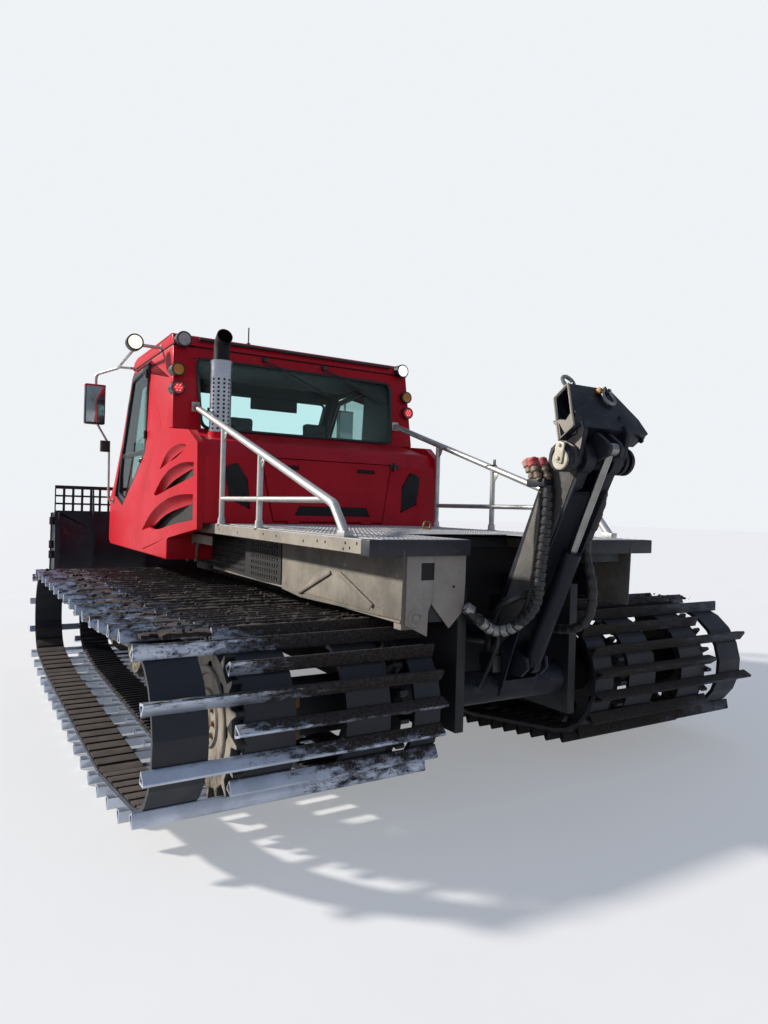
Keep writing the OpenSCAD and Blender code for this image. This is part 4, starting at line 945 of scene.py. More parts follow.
class GROOMER_OT_hood(Piece, bpy.types.Operator):
    """Rear hood with its dark vent screens, flap, latches and handle pockets"""

    bl_idname = "groomer.hood"
    bl_label = "Hood"

    def execute(self, context):
        hood = refined("hood", "rear_hood", sizes().panel_round, 3, shortest=0.3)
        done(hood, CHASSIS, "body_red", "red_paint", replaces=["hood"])
        flap = refined("hood_flap", "hood_flap_skin", 0.006, 3, shortest=0.06)
        done(flap, "hood_flap", "body_red", "red_paint", replaces=["hood_flap"])
        vent = smooth_outline([(724, 1558), (904, 1636), (938, 1900), (834, 1938), (742, 1800)])
        screens = plate("vent_screens", vent, "y", -2118, -2112)
        done(mirrored(screens), CHASSIS, "door_black", "mesh_black")
        slot = plate("flap_screen", [(-404, 1516), (334, 1516), (294, 1604), (-364, 1604)], "y", -2112, -2104)
        pockets = [block("pocket", (x - 94, -2144, 1900), (x + 94, -2134, 1944), 2) for x in (-360, 380)]
        grips = [block("grip", (x - 84, -2140, 1912), (x + 84, -2124, 1926), 4) for x in (-360, 380)]
        done(join("flap_screens", [slot, *pockets, *grips]), "hood_flap", "door_black", "mesh_black")
        latches = []
        for x, z in ((566, 2000), (-648, 1984)):
            latches += [
                block("latch", (x - 34, -2136, z - 16), (x + 34, -2116, z + 20), 6),
                block("latch", (x - 12, -2122, z - 46), (x + 12, -2098, z + 34), 6),
                block("latch", (x - 62, -2118, z - 8), (x - 20, -2100, z + 8), 4),
            ]
        done(join("hood_latches", latches), CHASSIS, "door_black", "black_plastic")
        return {"FINISHED"}


INTAKE_X = 1110
INTAKE_SIDE = [(-2980, 2225), (-3330, 1880), (-3780, 1290), (-3570, 1150), (-2580, 1320), (-2100, 1400),
    (-2130, 2080), (-2300, 2190), (-2770, 2235)]
# Each slot: the brow's edge, the opening's upper edge and its lower edge, from front to back
INTAKE_SLOTS = [
    ([(-2950, 1890), (-2813, 1990), (-2657, 2052), (-2480, 2084), (-2340, 2070)],
     [(-2950, 1888), (-2760, 1958), (-2600, 2002), (-2450, 2040), (-2345, 2056)],
     [(-2950, 1886), (-2740, 1930), (-2560, 1968), (-2440, 2004), (-2345, 2044)]),
    ([(-3120, 1668), (-2930, 1782), (-2690, 1874), (-2420, 1926), (-2185, 1926)],
     [(-3100, 1664), (-2840, 1752), (-2560, 1826), (-2340, 1874), (-2182, 1888)],
     [(-3060, 1656), (-2840, 1688), (-2540, 1742), (-2320, 1784), (-2182, 1818)]),
    ([(-3560, 1330), (-3260, 1480), (-2860, 1602), (-2480, 1664), (-2185, 1672)],
     [(-3290, 1392), (-2966, 1488), (-2620, 1550), (-2360, 1590), (-2180, 1604)],
     [(-3250, 1370), (-3095, 1358), (-2884, 1372), (-2480, 1432), (-2178, 1466)]),
]


def swell_x(y):
    """How far out the intake's skin stands at a place along the machine."""
    rows = [(-3800, 1244), (-3100, 1244), (-2700, 1230), (-2350, 1190), (-2100, 1154)]
    for (y0, x0), (y1, x1) in zip(rows, rows[1:]):
        if y <= y1:
            return x0 + (x1 - x0) * (y - y0) / (y1 - y0)
    return rows[-1][1]


def swell_plan(inset):
    """Plan of the intake's swell, drawn in by an inset."""
    edge = 12 if inset else 0
    skin = [(swell_x(y) - inset, y) for y in range(-3800, -2099, 100)]
    return [(INTAKE_X + edge, -3800), *skin, (INTAKE_X + edge, -2100)]


def drawn_in(outline, step):
    """Outline moved towards its middle."""
    middle = sum((Vector(p) for p in outline), Vector((0, 0))) / len(outline)
    moved = [Vector(p) + (middle - Vector(p)).normalized() * step for p in outline]
    return [(p.x, p.y) for p in moved]


class GROOMER_OT_intakes(Piece, bpy.types.Operator):
    """Louvred side intakes with scooped brows over the slots and a black plate behind them as painted shade
    """

    bl_idname = "groomer.intakes"
    bl_label = "Side intakes"

    def execute(self, context):
        skin = plate("intake_skins", INTAKE_SIDE, "x", INTAKE_X, 1300)
        boolean(skin, plate("swell", swell_plan(0), "z", 1000, 2400), "INTERSECT")
        hollow = plate("hollow", drawn_in(INTAKE_SIDE, 50), "x", INTAKE_X - 5, 1300)
        boolean(hollow, plate("swell", swell_plan(28), "z", 1000, 2400), "INTERSECT")
        boolean(skin, hollow)
        brows = []
        for number, (brow, top, low) in enumerate(INTAKE_SLOTS):
            brow, top, low = flow(brow), flow(top), flow(low)
            boolean(skin, plate("slot", brow + low[::-1], "x", INTAKE_X + 16, 1300))
            deep = (34, 52, 60)[number]
            clear()
            bpy.ops.mesh.primitive_grid_add(x_subdivisions=4, y_subdivisions=len(brow) - 1)
            sheet = named("brow")
            for v in sheet.data.vertices:
                i = round((v.co.y + 1) / 2 * (len(brow) - 1))
                t = (v.co.x + 1) / 2
                (y0, z0), (y1, z1) = brow[i], top[i]
                y, z = y0 + (y1 - y0) * t, z0 + (z1 - z0) * t
                v.co = at(swell_x(y) - 1.5 - deep * math.sin(t * math.pi / 2), y, z + 1 - 2 * t)
            brows.append(modified(sheet, "SOLIDIFY", thickness=0.004, offset=0))
        done(mirrored(skin), CHASSIS, "body_red", "red_paint", replaces=["side_intakes"])
        done(mirrored(join("intake_brows", brows)), CHASSIS, "body_red", "red_paint")
        # A black plate closes the hollow behind the slots: painted shade of the openings
        shade_plates = plate("intake_shade_plates", drawn_in(INTAKE_SIDE, 60), "x", 1124, 1130)
        done(mirrored(shade_plates), CHASSIS, "door_black", "mesh_black")
        return {"FINISHED"}


class GROOMER_OT_doors(Piece, bpy.types.Operator):
    """Black door frames with rounded edges, and handles"""

    bl_idname = "groomer.doors"
    bl_label = "Doors"

    def execute(self, context):
        for name, side in (("door_left", 1), ("door_right", -1)):
            door = refined(name, name + "_frame", 0.005, 2)
            done(door, name, "door_black", "black_plastic", replaces=[name])
            handle = tube("handle", [at(side * x, y, z) for x, y, z in ((1212, -3700, 2020),
                (1236, -3706, 2018), (1236, -3800, 1990), (1212, -3806, 1986))], 9, 8)
            done(join(name + "_handle", [handle]), name, "door_black", "black_plastic")
        return {"FINISHED"}


class GROOMER_OT_exhaust(Piece, bpy.types.Operator):
    """Burnt exhaust pipe with its chrome perforated guard, clamp and sooty mouth"""

    bl_idname = "groomer.exhaust"
    bl_label = "Exhaust"

    def execute(self, context):
        x, y = 880, -2440
        axis = at(x, y, 0)

        def inside(p):
            inwards = p.normal.x * (p.center.x - axis.x) + p.normal.y * (p.center.y - axis.y) < -0.003
            return 1 if inwards and 2.3 < p.center.z < 2.86 else 0

        pipe = refined("exhaust_pipe", "exhaust_tube", 0.0015, 1, shortest=0.5)
        done(pipe, CHASSIS, "pipe_steel", "burnt_pipe", "soot", replaces=["exhaust_pipe"], choose=inside)
        dress("exhaust_guard", "bright_chrome")
        rings = [
            lathe("ring", at(x, y, 2782), (0, 0, 1),
                [(0, 86), (0, 91), (10, 91), (12, 88), (12, 70), (8, 70)], 40),
            lathe("ring", at(x, y, 2200), (0, 0, 1), [(0, 86), (0, 93), (14, 93), (14, 88)], 40),
        ]
        done(join("guard_rings", rings), CHASSIS, "guard_chrome", "bright_chrome")
        return {"FINISHED"}


REAR_LAMPS = [(1113, -2740, 3005, 66), (1160, -2725, 2738, 58), (1165, -2700, 2577, 58)]


class GROOMER_OT_lamps(Piece, bpy.types.Operator):
    """Lamp bezels and lenses: white and red ones lit at the rear, a cream work light"""

    bl_idname = "groomer.lamps"
    bl_label = "Lamps"

    def execute(self, context):
        dress("lamps", "black_plastic")

        def ring(r):
            return [(-4, r * 0.9), (-4, r + 1), (4, r + 1), (8, r - 3), (9, r - 8), (6, r - 10)]

        def dome(r):
            return [(-2, r - 9), (5, r - 9), (9, (r - 9) * 0.75), (11, (r - 9) * 0.4), (11.5, 3)]

        bezels, domes = [], {}
        looks = [("lens_clear", "lens_white_lit"), ("lens_amber", "lens_amber"), ("lens_red", "lens_red")]
        for (x, y, z, r), pair in zip(REAR_LAMPS, looks):
            for s, look in zip((1, -1), pair):
                bezels.append(lathe("bezel", at(s * x, y, z), (0, 1, 0), ring(r), 28))
                domes.setdefault(look, []).append(lathe("lens", at(s * x, y, z), (0, 1, 0), dome(r), 28))
        bezels.append(lathe("bezel", at(1440, -3110, 3000), (0, 1, 0), ring(72), 28))
        domes["lens_cream_lit"] = [lathe("lens", at(1440, -3110, 3000), (0, 1, 0), dome(72), 28)]
        for s in (1, -1):
            for x in (330, 760):
                domes.setdefault("lens_clear", []).append(lathe("lens", at(s * x, -4420, 3015),
                    (0, -1, 0), dome(48), 20))
            domes.setdefault("lens_clear", []).append(lathe("lens", at(s * 800, -5240, 1400),
                (0, -1, 0), dome(100), 28))
        done(join("lamp_bezels", bezels), CHASSIS, "lamp_mixed", "black_plastic")
        for look, parts in domes.items():
            done(join("lamp_" + look, parts), CHASSIS, "lamp_mixed", look)
        dots = []
        for s in (1, -1):
            x, y, z, r = REAR_LAMPS[2]
            for k in range(7):
                a, d = k * math.tau / 6, 0 if k == 6 else 24
                dots.append(at(s * x + d * math.cos(a), y + 8, z + d * math.sin(a)))
        dot = lathe("dot", ORIGIN, UPWARDS, [(0, 8), (4, 8), (7, 4)], 10)
        done(copies(dot, spots(dots), "lamp_diodes"), CHASSIS, "lamp_mixed", "led_red")
        return {"FINISHED"}


class GROOMER_OT_mirrors(Piece, bpy.types.Operator):
    """Mirror tubes and housings with rounded corners, and the mirror faces"""

    bl_idname = "groomer.mirrors"
    bl_label = "Mirrors"

    def execute(self, context):
        heads = refined("mirrors", "mirror_housings", 0.016, 3, shortest=0.07)

        def tubes(p):
            c = p.center
            head = abs(c.x) > 1.395 and 2.4 < c.z < 2.85
            small = 2.12 < c.z < 2.26 and 1.32 < abs(c.x) < 1.43 and -4.84 < c.y - AXLE_Y * MM < -4.76
            return 0 if head or small else 1

        done(heads, CHASSIS, "mirror_black", "black_plastic", "galvanised_tube",
            replaces=["mirrors"], choose=tubes)
        face = block("mirror_faces", (1418, -4664, 2428), (1597, -4656, 2812), 3)
        done(mirrored(face), CHASSIS, "mirror_black", "mirror_face")
        cap = block("mirror_caps", (1404, -4741, 2802), (1611, -4659, 2832), 10, 3)
        done(mirrored(cap), CHASSIS, "mirror_black", "red_paint")
        return {"FINISHED"}


class GROOMER_OT_wipers(Piece, bpy.types.Operator):
    """Two wipers on the rear window"""

    bl_idname = "groomer.wipers"
    bl_label = "Wipers"

    def execute(self, context):
        parts = []
        for x0, x1 in ((362, -292), (-240, -912)):
            a, b = at(x0, -2774, 2930), at(x1, rear_skin(2650) + 22, 2650)
            m = a.lerp(b, 0.42)
            d = (b - a).normalized()
            parts.append(tube("arm", [a, a.lerp(b, 0.2), m, a.lerp(b, 0.7)], 6, 8))
            parts.append(tube("arm", [a + Vector((0, 0, -0.035)),
                a.lerp(b, 0.25) + Vector((0, 0, -0.02)), m], 4, 8))
            parts.append(tube("blade", [m - d * 0.06, b], 13, 8, False))
            parts.append(lathe("cap", at(x0, -2796, 2930), (0, 1, 0),
                [(0, 26), (14, 26), (22, 20), (34, 18), (38, 8)], 20))
        done(join("rear_wipers", parts), CHASSIS, "door_black", "black_plastic", replaces=["wipers"])
        return {"FINISHED"}


def cushion(name, low, high, thick, channels):
    """Crowned cushion, drawn in between its corners, with sewn channels and a piped seam."""
    crown, pull = 0.2, 0.07
    a, b = at(*low), at(*high)
    middle, half = (a + b) / 2, (b - a) / 2
    wide = [i for i in range(3) if i != thick]

    def shaped(u):
        n = sum(abs(c) ** 6 for c in u) ** (1 / 6)
        p = [c / n for c in u]
        open_ = [max(0.0, 1 - c * c) for c in p]
        dent = sum(math.exp(-(((p[i] - c) / 0.06) ** 2)) for i, c in channels)
        q = Vector(p)
        q[thick] *= 1 - crown + crown * open_[wide[0]] ** 0.6 * open_[wide[1]] ** 0.6 - 0.11 * dent
        for i, j in (wide, wide[::-1]):
            q[i] *= 1 - pull * open_[j]
        return middle + Vector(q[i] * half[i] for i in range(3))

    clear()
    bpy.ops.mesh.primitive_cube_add(size=2)
    pad = named(name)
    with editing(pad):
        bpy.ops.mesh.subdivide(number_cuts=27)
    for v in pad.data.vertices:
        v.co = shaped(v.co)
    line = []
    for k in range(64):
        t = k / 64 * math.tau
        u = [0.0, 0.0, 0.0]
        u[wide[0]], u[wide[1]], u[thick] = math.cos(t), math.sin(t), 0.62
        m = max(abs(math.cos(t)), abs(math.sin(t)))
        u[wide[0]], u[wide[1]] = u[wide[0]] / m, u[wide[1]] / m
        line.append(shaped(u))
    return [pad, tube("piping", line, 4.5, 8, closed=True, resolution=1)]


class GROOMER_OT_interior(Piece, bpy.types.Operator):
    """Inside of the cab: finish, inner mirror and padded seats"""

    bl_idname = "groomer.interior"
    bl_label = "Cab interior"

    def execute(self, context):
        dress("cab_interior", "dark_trim")
        mirror = block("inner_mirror", (160, -4300, 2560), (420, -4275, 2650), 10, 3)
        stalk = tube("stalk", [at(290, -4300, 2620), at(290, -4360, 2700), at(290, -4390, 2900)], 8, 8)
        visor = block("visor", (-700, -4420, 2700), (-120, -4405, 2860), 6)
        done(join("inner_mirror", [mirror, stalk, visor]), CHASSIS, "cab_trim", "dark_trim")
        for label, x in (("left", 380), ("right", -420)):
            pads = cushion("pad", (x - 244, -3894, 1482), (x + 244, -3390, 1606), 2,
                [(0, -0.52), (0, 0.52), (1, -0.1)])
            pads += cushion("pad", (x - 238, -3400, 1500), (x + 238, -3288, 2240), 1,
                [(0, -0.52), (0, 0.52), (2, -0.25), (2, 0.3)])
            pads += cushion("pad", (x - 124, -3392, 2262), (x + 124, -3296, 2452), 1, [(2, 0.0)])
            base = block("base", (x - 196, -3816, 1232), (x + 196, -3424, 1492), 12)
            seat = join("seat_" + label, [*pads, base])
            done(seat, CHASSIS, "seat_fabric", "seat_cloth", replaces=["seats"], smooth=50)
        return {"FINISHED"}


class GROOMER_OT_deck(Piece, bpy.types.Operator):
    """Rear deck with drilled side plates, tread studs, dark rear beams and lashing rings"""

    bl_idname = "groomer.deck"
    bl_label = "Deck"

    def execute(self, context):
        deck = refined("deck", "deck_planks", 0.003, 1, shortest=0.04)
        drill = lathe("drill", ORIGIN, UPWARDS, [(-60, 9), (60, 9)], 12)
        holes = [
            (-2400, 1404), (-1008, 1411), (-790, 1409), (-388, 1399), (-203, 1409), (-104, 1409), (106, 1384),
            (127, 1416), (175, 1393), (250, 1420), (307, 1382), (345, 1415), (-1500, 1400), (-1900, 1408),
        ]
        places = [at(s * 1035, y, z) for y, z in holes for s in (1, -1)]
        boolean(deck, copies(drill, spots(places, (1, 0, 0)), "drills"))

        def look(p):
            return 0 if p.normal.z > 0.7 else 1

        done(deck, CHASSIS, "deck_metal", "deck_plank", "beige_paint", replaces=["deck"], choose=look)
        beams = [
            block("beam", (420, 300, 1362), (1046, 387, 1446), 4),
            block("beam", (-1046, 300, 1362), (-420, 387, 1446), 4),
            block("beam", (-424, -312, 1366), (424, -296, 1446), 3),
        ]
        done(join("deck_beams", beams), CHASSIS, "carrier_black", "beam_steel_painted_sky")
        stud = lathe("stud", ORIGIN, UPWARDS, [(-1, 9), (2.4, 6)], 6)
        rows = []
        for i in range(46):
            for j in range(44):
                x, y = -990 + i * 44, -2060 + j * 55 + (27 if i % 2 else 0)
                if -2040 < y < 366 and abs(x) < 965 and not (abs(x) < 450 and y > -335):
                    rows.append(at(x, y, 1448))
        done(copies(stud, spots(rows, (0, 0, 1)), "deck_studs"), CHASSIS, "deck_metal", "deck_plank")
        rings = []
        for x, y in ((-351, -1134), (-860, -520)):
            rings.append(tube("ring", rounded([at(x + dx, y, 1450 + dz) for dx, dz in ((-34, 0), (34, 0),
                (30, 58), (-30, 58))], 0.024, 3), 8, 8, closed=True, resolution=2))
            rings.append(block("tab", (x - 30, y - 22, 1442), (x + 30, y + 22, 1456), 3))
        done(join("lashing_rings", rings), CHASSIS, "rusty_steel", "rusty_steel")
        return {"FINISHED"}


class GROOMER_OT_rails(Piece, bpy.types.Operator):
    """Tubular deck rails with gussets, feet and end caps"""

    bl_idname = "groomer.rails"
    bl_label = "Deck rails"

    def execute(self, context):
        rails = refined("deck_rails", "deck_rail_tubes", 0.003, 2, shortest=0.05)
        done(rails, CHASSIS, "tube_silver", "galvanised_tube", replaces=["deck_rails"])
        parts = []
        for y in (-1940, -1160):
            z = 2430 - (y + 2700) * 810 / 2630
            parts.append(plate("gusset", [(y - 4, z - 30), (y + 70, z - 48), (y + 52, z - 86),
                (y + 8, z - 130)], "x", 1006, 1014, 1.5))
            parts.append(lathe("bolt", at(1014, y + 34, z - 62), (1, 0, 0), [(0, 9), (6, 9), (7, 6)], 6))
            parts.append(lathe("cup", at(1012, y, 1443), (0, 0, 1),
                [(0, 44), (6, 44), (8, 30), (50, 26), (54, 22)], 20))
        parts.append(plate("gusset", [(-150, 1640), (-88, 1636), (-60, 1600),
            (-100, 1596)], "x", 1006, 1014, 1.5))
        done(mirrored(join("rail_brackets", parts)), CHASSIS, "tube_silver", "galvanised_tube")
        hook = [
            block("hook", (-1040, -1230, 1972), (-985, -1140, 1984), 2),
            block("hook", (-1034, -1178, 1978), (-1026, -1150, 2030), 2),
        ]
        done(join("rail_hook", hook), CHASSIS, "door_black", "black_plastic")
        return {"FINISHED"}


class GROOMER_OT_chassis(Piece, bpy.types.Operator):
    """Hull and the plates under the deck: creased panel, posts, gussets and perforated grilles"""

    bl_idname = "groomer.chassis"
    bl_label = "Chassis"

    def execute(self, context):
        hull = refined("hull", "hull_shell", sizes().steel_round, 2, shortest=0.08)

        # The bay between the tracks, the hull's underside and its front part get the near-black painted shade
        def look(p):
            bay = abs(p.center.x) < 0.66 and p.center.y > (AXLE_Y - 600) * MM
            return 1 if bay or p.center.z < 1.035 or p.center.y < (AXLE_Y - 2650) * MM else 0

        done(hull, CHASSIS, "chassis_beige", "beige_paint", "bay_painted_shade", replaces=["hull"], choose=look)
        supports = refined("deck_supports", "deck_props", 0.003, 2)

        # Inner and right-hand faces of the deck props get the near-black painted shade, all but the low
        # right-hand faces
        def prop(p):
            return 1 if p.center.x < 0.6 and not (p.center.x < -0.8 and p.center.z < 1.2) else 0

        done(supports, CHASSIS, "chassis_beige", "beige_paint", "bay_painted_shade",
            replaces=["deck_supports"], choose=prop)
        dress("engine_block", "cast_iron")
        panel = plate("panel", [(-1130, 1395), (-1130, 1035), (-820, 1012), (380, 1040),
            (392, 1395)], "x", 841, 847, 1.5)
        ribs = [
            plate("rib", [(-850, 1036), (-830, 1060), (-398, 1222), (-382, 1204),
                (-800, 1040)], "x", 845, 862, 6),
            plate("rib", [(-292, 1222), (-276, 1200), (100, 1066), (114, 1088),
                (-268, 1228)], "x", 845, 862, 6),
        ]
        field = plate("field", [(-560, 1206), (-400, 1222), (-260, 1222), (96, 1092), (60, 1046),
            (-780, 1046), (-800, 1060)], "x", 846, 850, 1)
        done(mirrored(join("creased_panels", [panel, field, *ribs])), CHASSIS, "chassis_beige", "panel_beige_darker")
        post = [
            plate("post", [(811, 1398), (811, 1012), (676, 944), (672, 1072), (649, 1126),
                (646, 1398)], "y", 358, 368, 2),
            lathe("boss", at(753, 366, 1043), (0, 1, 0),
                [(0, 46), (8, 46), (12, 42), (12, 32), (6, 30), (6, 20), (14, 18), (16, 10)], 26),
            plate("plate", [(655, 1398), (649, 1126), (632, 1098), (522, 975), (428, 1067), (421, 1214),
                (420, 1398)], "y", 340, 350, 2),
        ]
        done(join("deck_posts", post), CHASSIS, "chassis_beige", "post_beige_painted_light")
        # Black patches stand for the slot and the hole in the post plates: painted shade of the openings
        dark = [
            block("slot", (640, 350, 1236), (722, 369.5, 1326), 2),
            lathe("hole", at(499, 349, 1196), (0, 1, 0), [(0, 8), (2, 8)], 10),
        ]
        done(join("post_slot_shade", dark), CHASSIS, "door_black", "mesh_black")
        hole = lathe("hole", ORIGIN, UPWARDS, [(-8, 17), (8, 17)], 4)
        sheet = plate("grille", [(-3350, 1075), (-3350, 1385), (-1150, 1385), (-1150, 1060),
            (-1500, 1050)], "x", 844, 848)
        places = [at(846, -1215 - 44 * i - (0 if i < 12 else 120),
            1090 + 44 * j) for i in range(38) for j in range(6)]
        boolean(sheet, copies(hole, spots(places, (1, 0, 0)), "drills"))
        done(mirrored(join("side_grilles", [sheet])), CHASSIS, "door_black", "mesh_black")
        bracket = [
            plate("bracket", [(-2730, 1345), (-2120, 1340), (-2120, 1270), (-2600, 1270),
                (-2730, 1220)], "x", 1016, 1026, 2),
            plate("gusset", [(-2700, 1345), (-2560, 1345), (-2660, 1100), (-2700, 1100)], "x", 980, 992, 2),
        ]
        done(mirrored(join("cab_brackets", bracket)), CHASSIS, "chassis_beige", "beige_paint")
        return {"FINISHED"}


class GROOMER_OT_tracks(Piece, bpy.types.Operator):
    """Track bars with rounded backs, belts, and the soil caked inside the belts"""

    bl_idname = "groomer.tracks"
    bl_label = "Tracks"

    def execute(self, context):
        for label, side in (("left", 1), ("right", -1)):
            bars = refined("bars_" + label, "track_bars_" + label, 0.006, 2, shortest=0.2)
            # The right track's bars take the darkened copy: painted shade and soil
            done(bars, CHASSIS, "bar_aluminium", "bar_metal" if side > 0 else "bar_muddy_shaded",
                replaces=["bars_" + label])
            dress("belts_" + label, "belt_rubber")
            s0 = bar_start(side)
            unit = unit_cube("pad", 0.06)
            rng = random.Random(7 + side)
            matrices = []
            for k in range(BAR_COUNT):
                for x, w in BELTS:
                    m = track_matrix(s0 + (k + 0.5) * PITCH, side * x, -BELT_THICK - 2)
                    if m.translation.z > 0.3:
                        continue
                    grow = Matrix.Diagonal(((w - 14) * MM, (PITCH - 34 + rng.uniform(-10, 4)) * MM,
                        rng.uniform(10, 17) * MM, 1))
                    matrices.append(m @ Matrix.Rotation(rng.uniform(-0.02, 0.02), 4, "Z") @ grow)
            done(copies(unit, matrices, "belt_soil_" + label), CHASSIS, "belt_rubber", "brown_mud")
            lug = unit_cube("lug", 0.18)
            lugs = []
            for k in range(BAR_COUNT * 2):
                for x in (1010, 1525):
                    m = track_matrix(s0 + k * PITCH / 2, side * x, -BELT_THICK - 9)
                    lugs.append(m @ Matrix.Diagonal((236 * MM, 20 * MM, 26 * MM, 1)))
            done(copies(lug, lugs, "belt_lugs_" + label), CHASSIS, "belt_rubber", "belt_rubber")
        return {"FINISHED"}


class GROOMER_OT_mud(Piece, bpy.types.Operator):
    """Crumbled soil lying on the upper run of both tracks"""

    bl_idname = "groomer.mud"
    bl_label = "Mud"

    def execute(self, context):
        depth = sizes().mud_depth / MM
        # The sheet of soil: from the idler's top to the sprocket's, and across the bars
        start, end = LOOP_LENGTH * 0.615, LOOP_LENGTH * 1.004
        inner, outer = 590, 2085
        for label, side in (("left", 1), ("right", -1)):
            clear()
            bpy.ops.mesh.primitive_grid_add(x_subdivisions=72, y_subdivisions=190)
            sheet = named("soil")
            cover = []
            for v in sheet.data.vertices:
                x = inner + (v.co.x + 1) / 2 * (outer - inner)
                s = start + (v.co.y + 1) / 2 * (end - start)
                q = Vector((x * 0.004, s * 0.004, side * 3.1))
                rough = noise.noise(q * 1.4) * 0.5 + noise.noise(q * 4.3) * 0.4 + noise.noise(q * 11) * 0.35
                share = 0.5 - max(0, x - 1500) / 560
                level = depth + rough * 22 + min(0.0, share) * 34
                v.co = on_track(s, side * x, max(-2.0, level))
                cover.append(rough + share)
            bare = [p.index for p in sheet.data.polygons if max(cover[i] for i in p.vertices) < -0.12]
            with editing(sheet):
                bpy.ops.mesh.select_all(action="DESELECT")
            for i in bare:
                sheet.data.polygons[i].select = True
            only(sheet)
            bpy.ops.object.mode_set(mode="EDIT")
            bpy.ops.mesh.select_mode(type="FACE")
            bpy.ops.mesh.delete(type="FACE")
            bpy.ops.mesh.select_mode(type="VERT")
            bpy.ops.mesh.select_all(action="SELECT")
            bpy.ops.mesh.normals_make_consistent(inside=False)
            bpy.ops.object.mode_set(mode="OBJECT")
            if sum(p.normal.z for p in sheet.data.polygons) < 0:
                sheet.data.flip_normals()
            modified(sheet, "SOLIDIFY", thickness=0.018, offset=-1)
            done(join("track_soil_" + label, [sheet]), CHASSIS, "belt_rubber", "wet_mud", smooth=60)
            clear()
            bpy.ops.mesh.primitive_ico_sphere_add(subdivisions=1, radius=1)
            clod = named("clod")
            for v in clod.data.vertices:
                v.co *= 1 + noise.noise(v.co * 2.0) * 0.5
            rng = random.Random(21 + side)
            matrices = []
            for _ in range(sizes().clods):
                x = 600 + 1450 * rng.random() ** 1.3
                s = start + (end - start) * rng.random()
                size = (3 + 15 * rng.random() ** 2.5) * MM
                m = Matrix.Translation(on_track(s, side * x, rng.uniform(BAR_HEIGHT - 22, BAR_HEIGHT)))
                turn = Matrix.Rotation(rng.uniform(0, 6.28), 4,
                    "Z") @ Matrix.Rotation(rng.uniform(0, 6.28), 4, "X")
                matrices.append(m @ turn @ Matrix.Diagonal((size * rng.uniform(0.8, 1.8), size,
                    size * rng.uniform(0.4, 0.8), 1)))
            done(copies(clod, matrices, "track_clods_" + label), CHASSIS, "belt_rubber", "wet_mud", smooth=10)
        return {"FINISHED"}


# How far the outer sprocket disc stands closer to the second belt than its solid, and the faces it carries
DISC_INWARD = 60
DISC_FACE = 1757 - DISC_INWARD
HUB_FACE = 1266


class GROOMER_OT_wheels(Piece, bpy.types.Operator):
    """Sprockets with bolted hubs, road wheels, tyres and final drives"""

    bl_idname = "groomer.wheels"
    bl_label = "Wheels"

    def execute(self, context):
        sprockets = refined("sprockets", "drive_sprockets", 0.004, 2, shortest=0.05)
        for v in sprockets.data.vertices:
            if abs(v.co.x) > 1.6:
                v.co.x -= math.copysign(DISC_INWARD * MM, v.co.x)
        axle = at(0, 0, AXLE_Z)

        def reach(p):
            return math.hypot(p.center.y - axle.y, p.center.z - axle.z)

        # Only the outer disc's flat face stays cream; the drum, teeth and rims get the near-black painted
        # shade
        def face(p):
            return 0 if abs(p.normal.x) > 0.7 and abs(p.center.x) > 1.6 and reach(p) < 0.262 else 1

        done(sprockets, CHASSIS, "sprocket_cream", "cream_steel", "bay_painted_shade",
            replaces=["sprockets"], choose=face)
        # The lugs lie in the belts' shade; their bright rust is partly painted sunlight
        lugs = [block("lug", (1296, 138, 602), (1372, 182, 660), 8),
            block("lug", (1284, 116, 440), (1372, 170, 500), 10)]
        done(mirrored(join("drum_lugs", lugs)), CHASSIS, "rusty_steel", "rust_painted_sunlit")
        dress("wheels", "brown_mud")
        dress("tyres", "tyre_rubber")
        # The final drives get the near-black painted shade
        dress("final_drives", "bay_painted_shade")
        hub = lathe("hub", at(DISC_FACE, 0, AXLE_Z), (1, 0, 0),
            [(0, 254), (10, 254), (14, 248), (14, 226), (4, 216), (-4, 204), (-4, 150), (6, 142), (12, 136),
            (12, 66), (20, 56), (24, 10)], 48)
        inner = lathe("hub", at(HUB_FACE, 0, AXLE_Z), (1, 0, 0),
            [(0, 128), (10, 128), (30, 104), (36, 90), (56, 84), (60, 40), (66, 10)], 32)
        done(mirrored(hub), CHASSIS, "sprocket_cream", "cream_steel", "cast_iron",
            choose=lambda p: 1 if 0.15 < reach(p) < 0.218 else 0)
        done(mirrored(join("inner_hubs", [inner])), CHASSIS, "rusty_steel", "rust_painted_sunlit")
        bolt = lathe("bolt", ORIGIN, UPWARDS, [(-2, 17), (3, 17), (3, 12), (15, 12), (17, 8)], 6)
        places = []
        for s in (1, -1):
            for k in range(10):
                a = k * math.tau / 10
                places.append((s, at(s * (DISC_FACE + 11), 104 * math.cos(a), AXLE_Z + 104 * math.sin(a))))
            for k in range(8):
                a = k * math.tau / 8 + 0.2
                places.append((s, at(s * (HUB_FACE + 26), 98 * math.cos(a), AXLE_Z + 104 * math.sin(a))))
        matrices = [m for s, p in places for m in spots([p], (s, 0, 0))]
        done(copies(bolt, matrices, "hub_bolts"), CHASSIS, "rusty_steel", "rusty_steel")
        return {"FINISHED"}


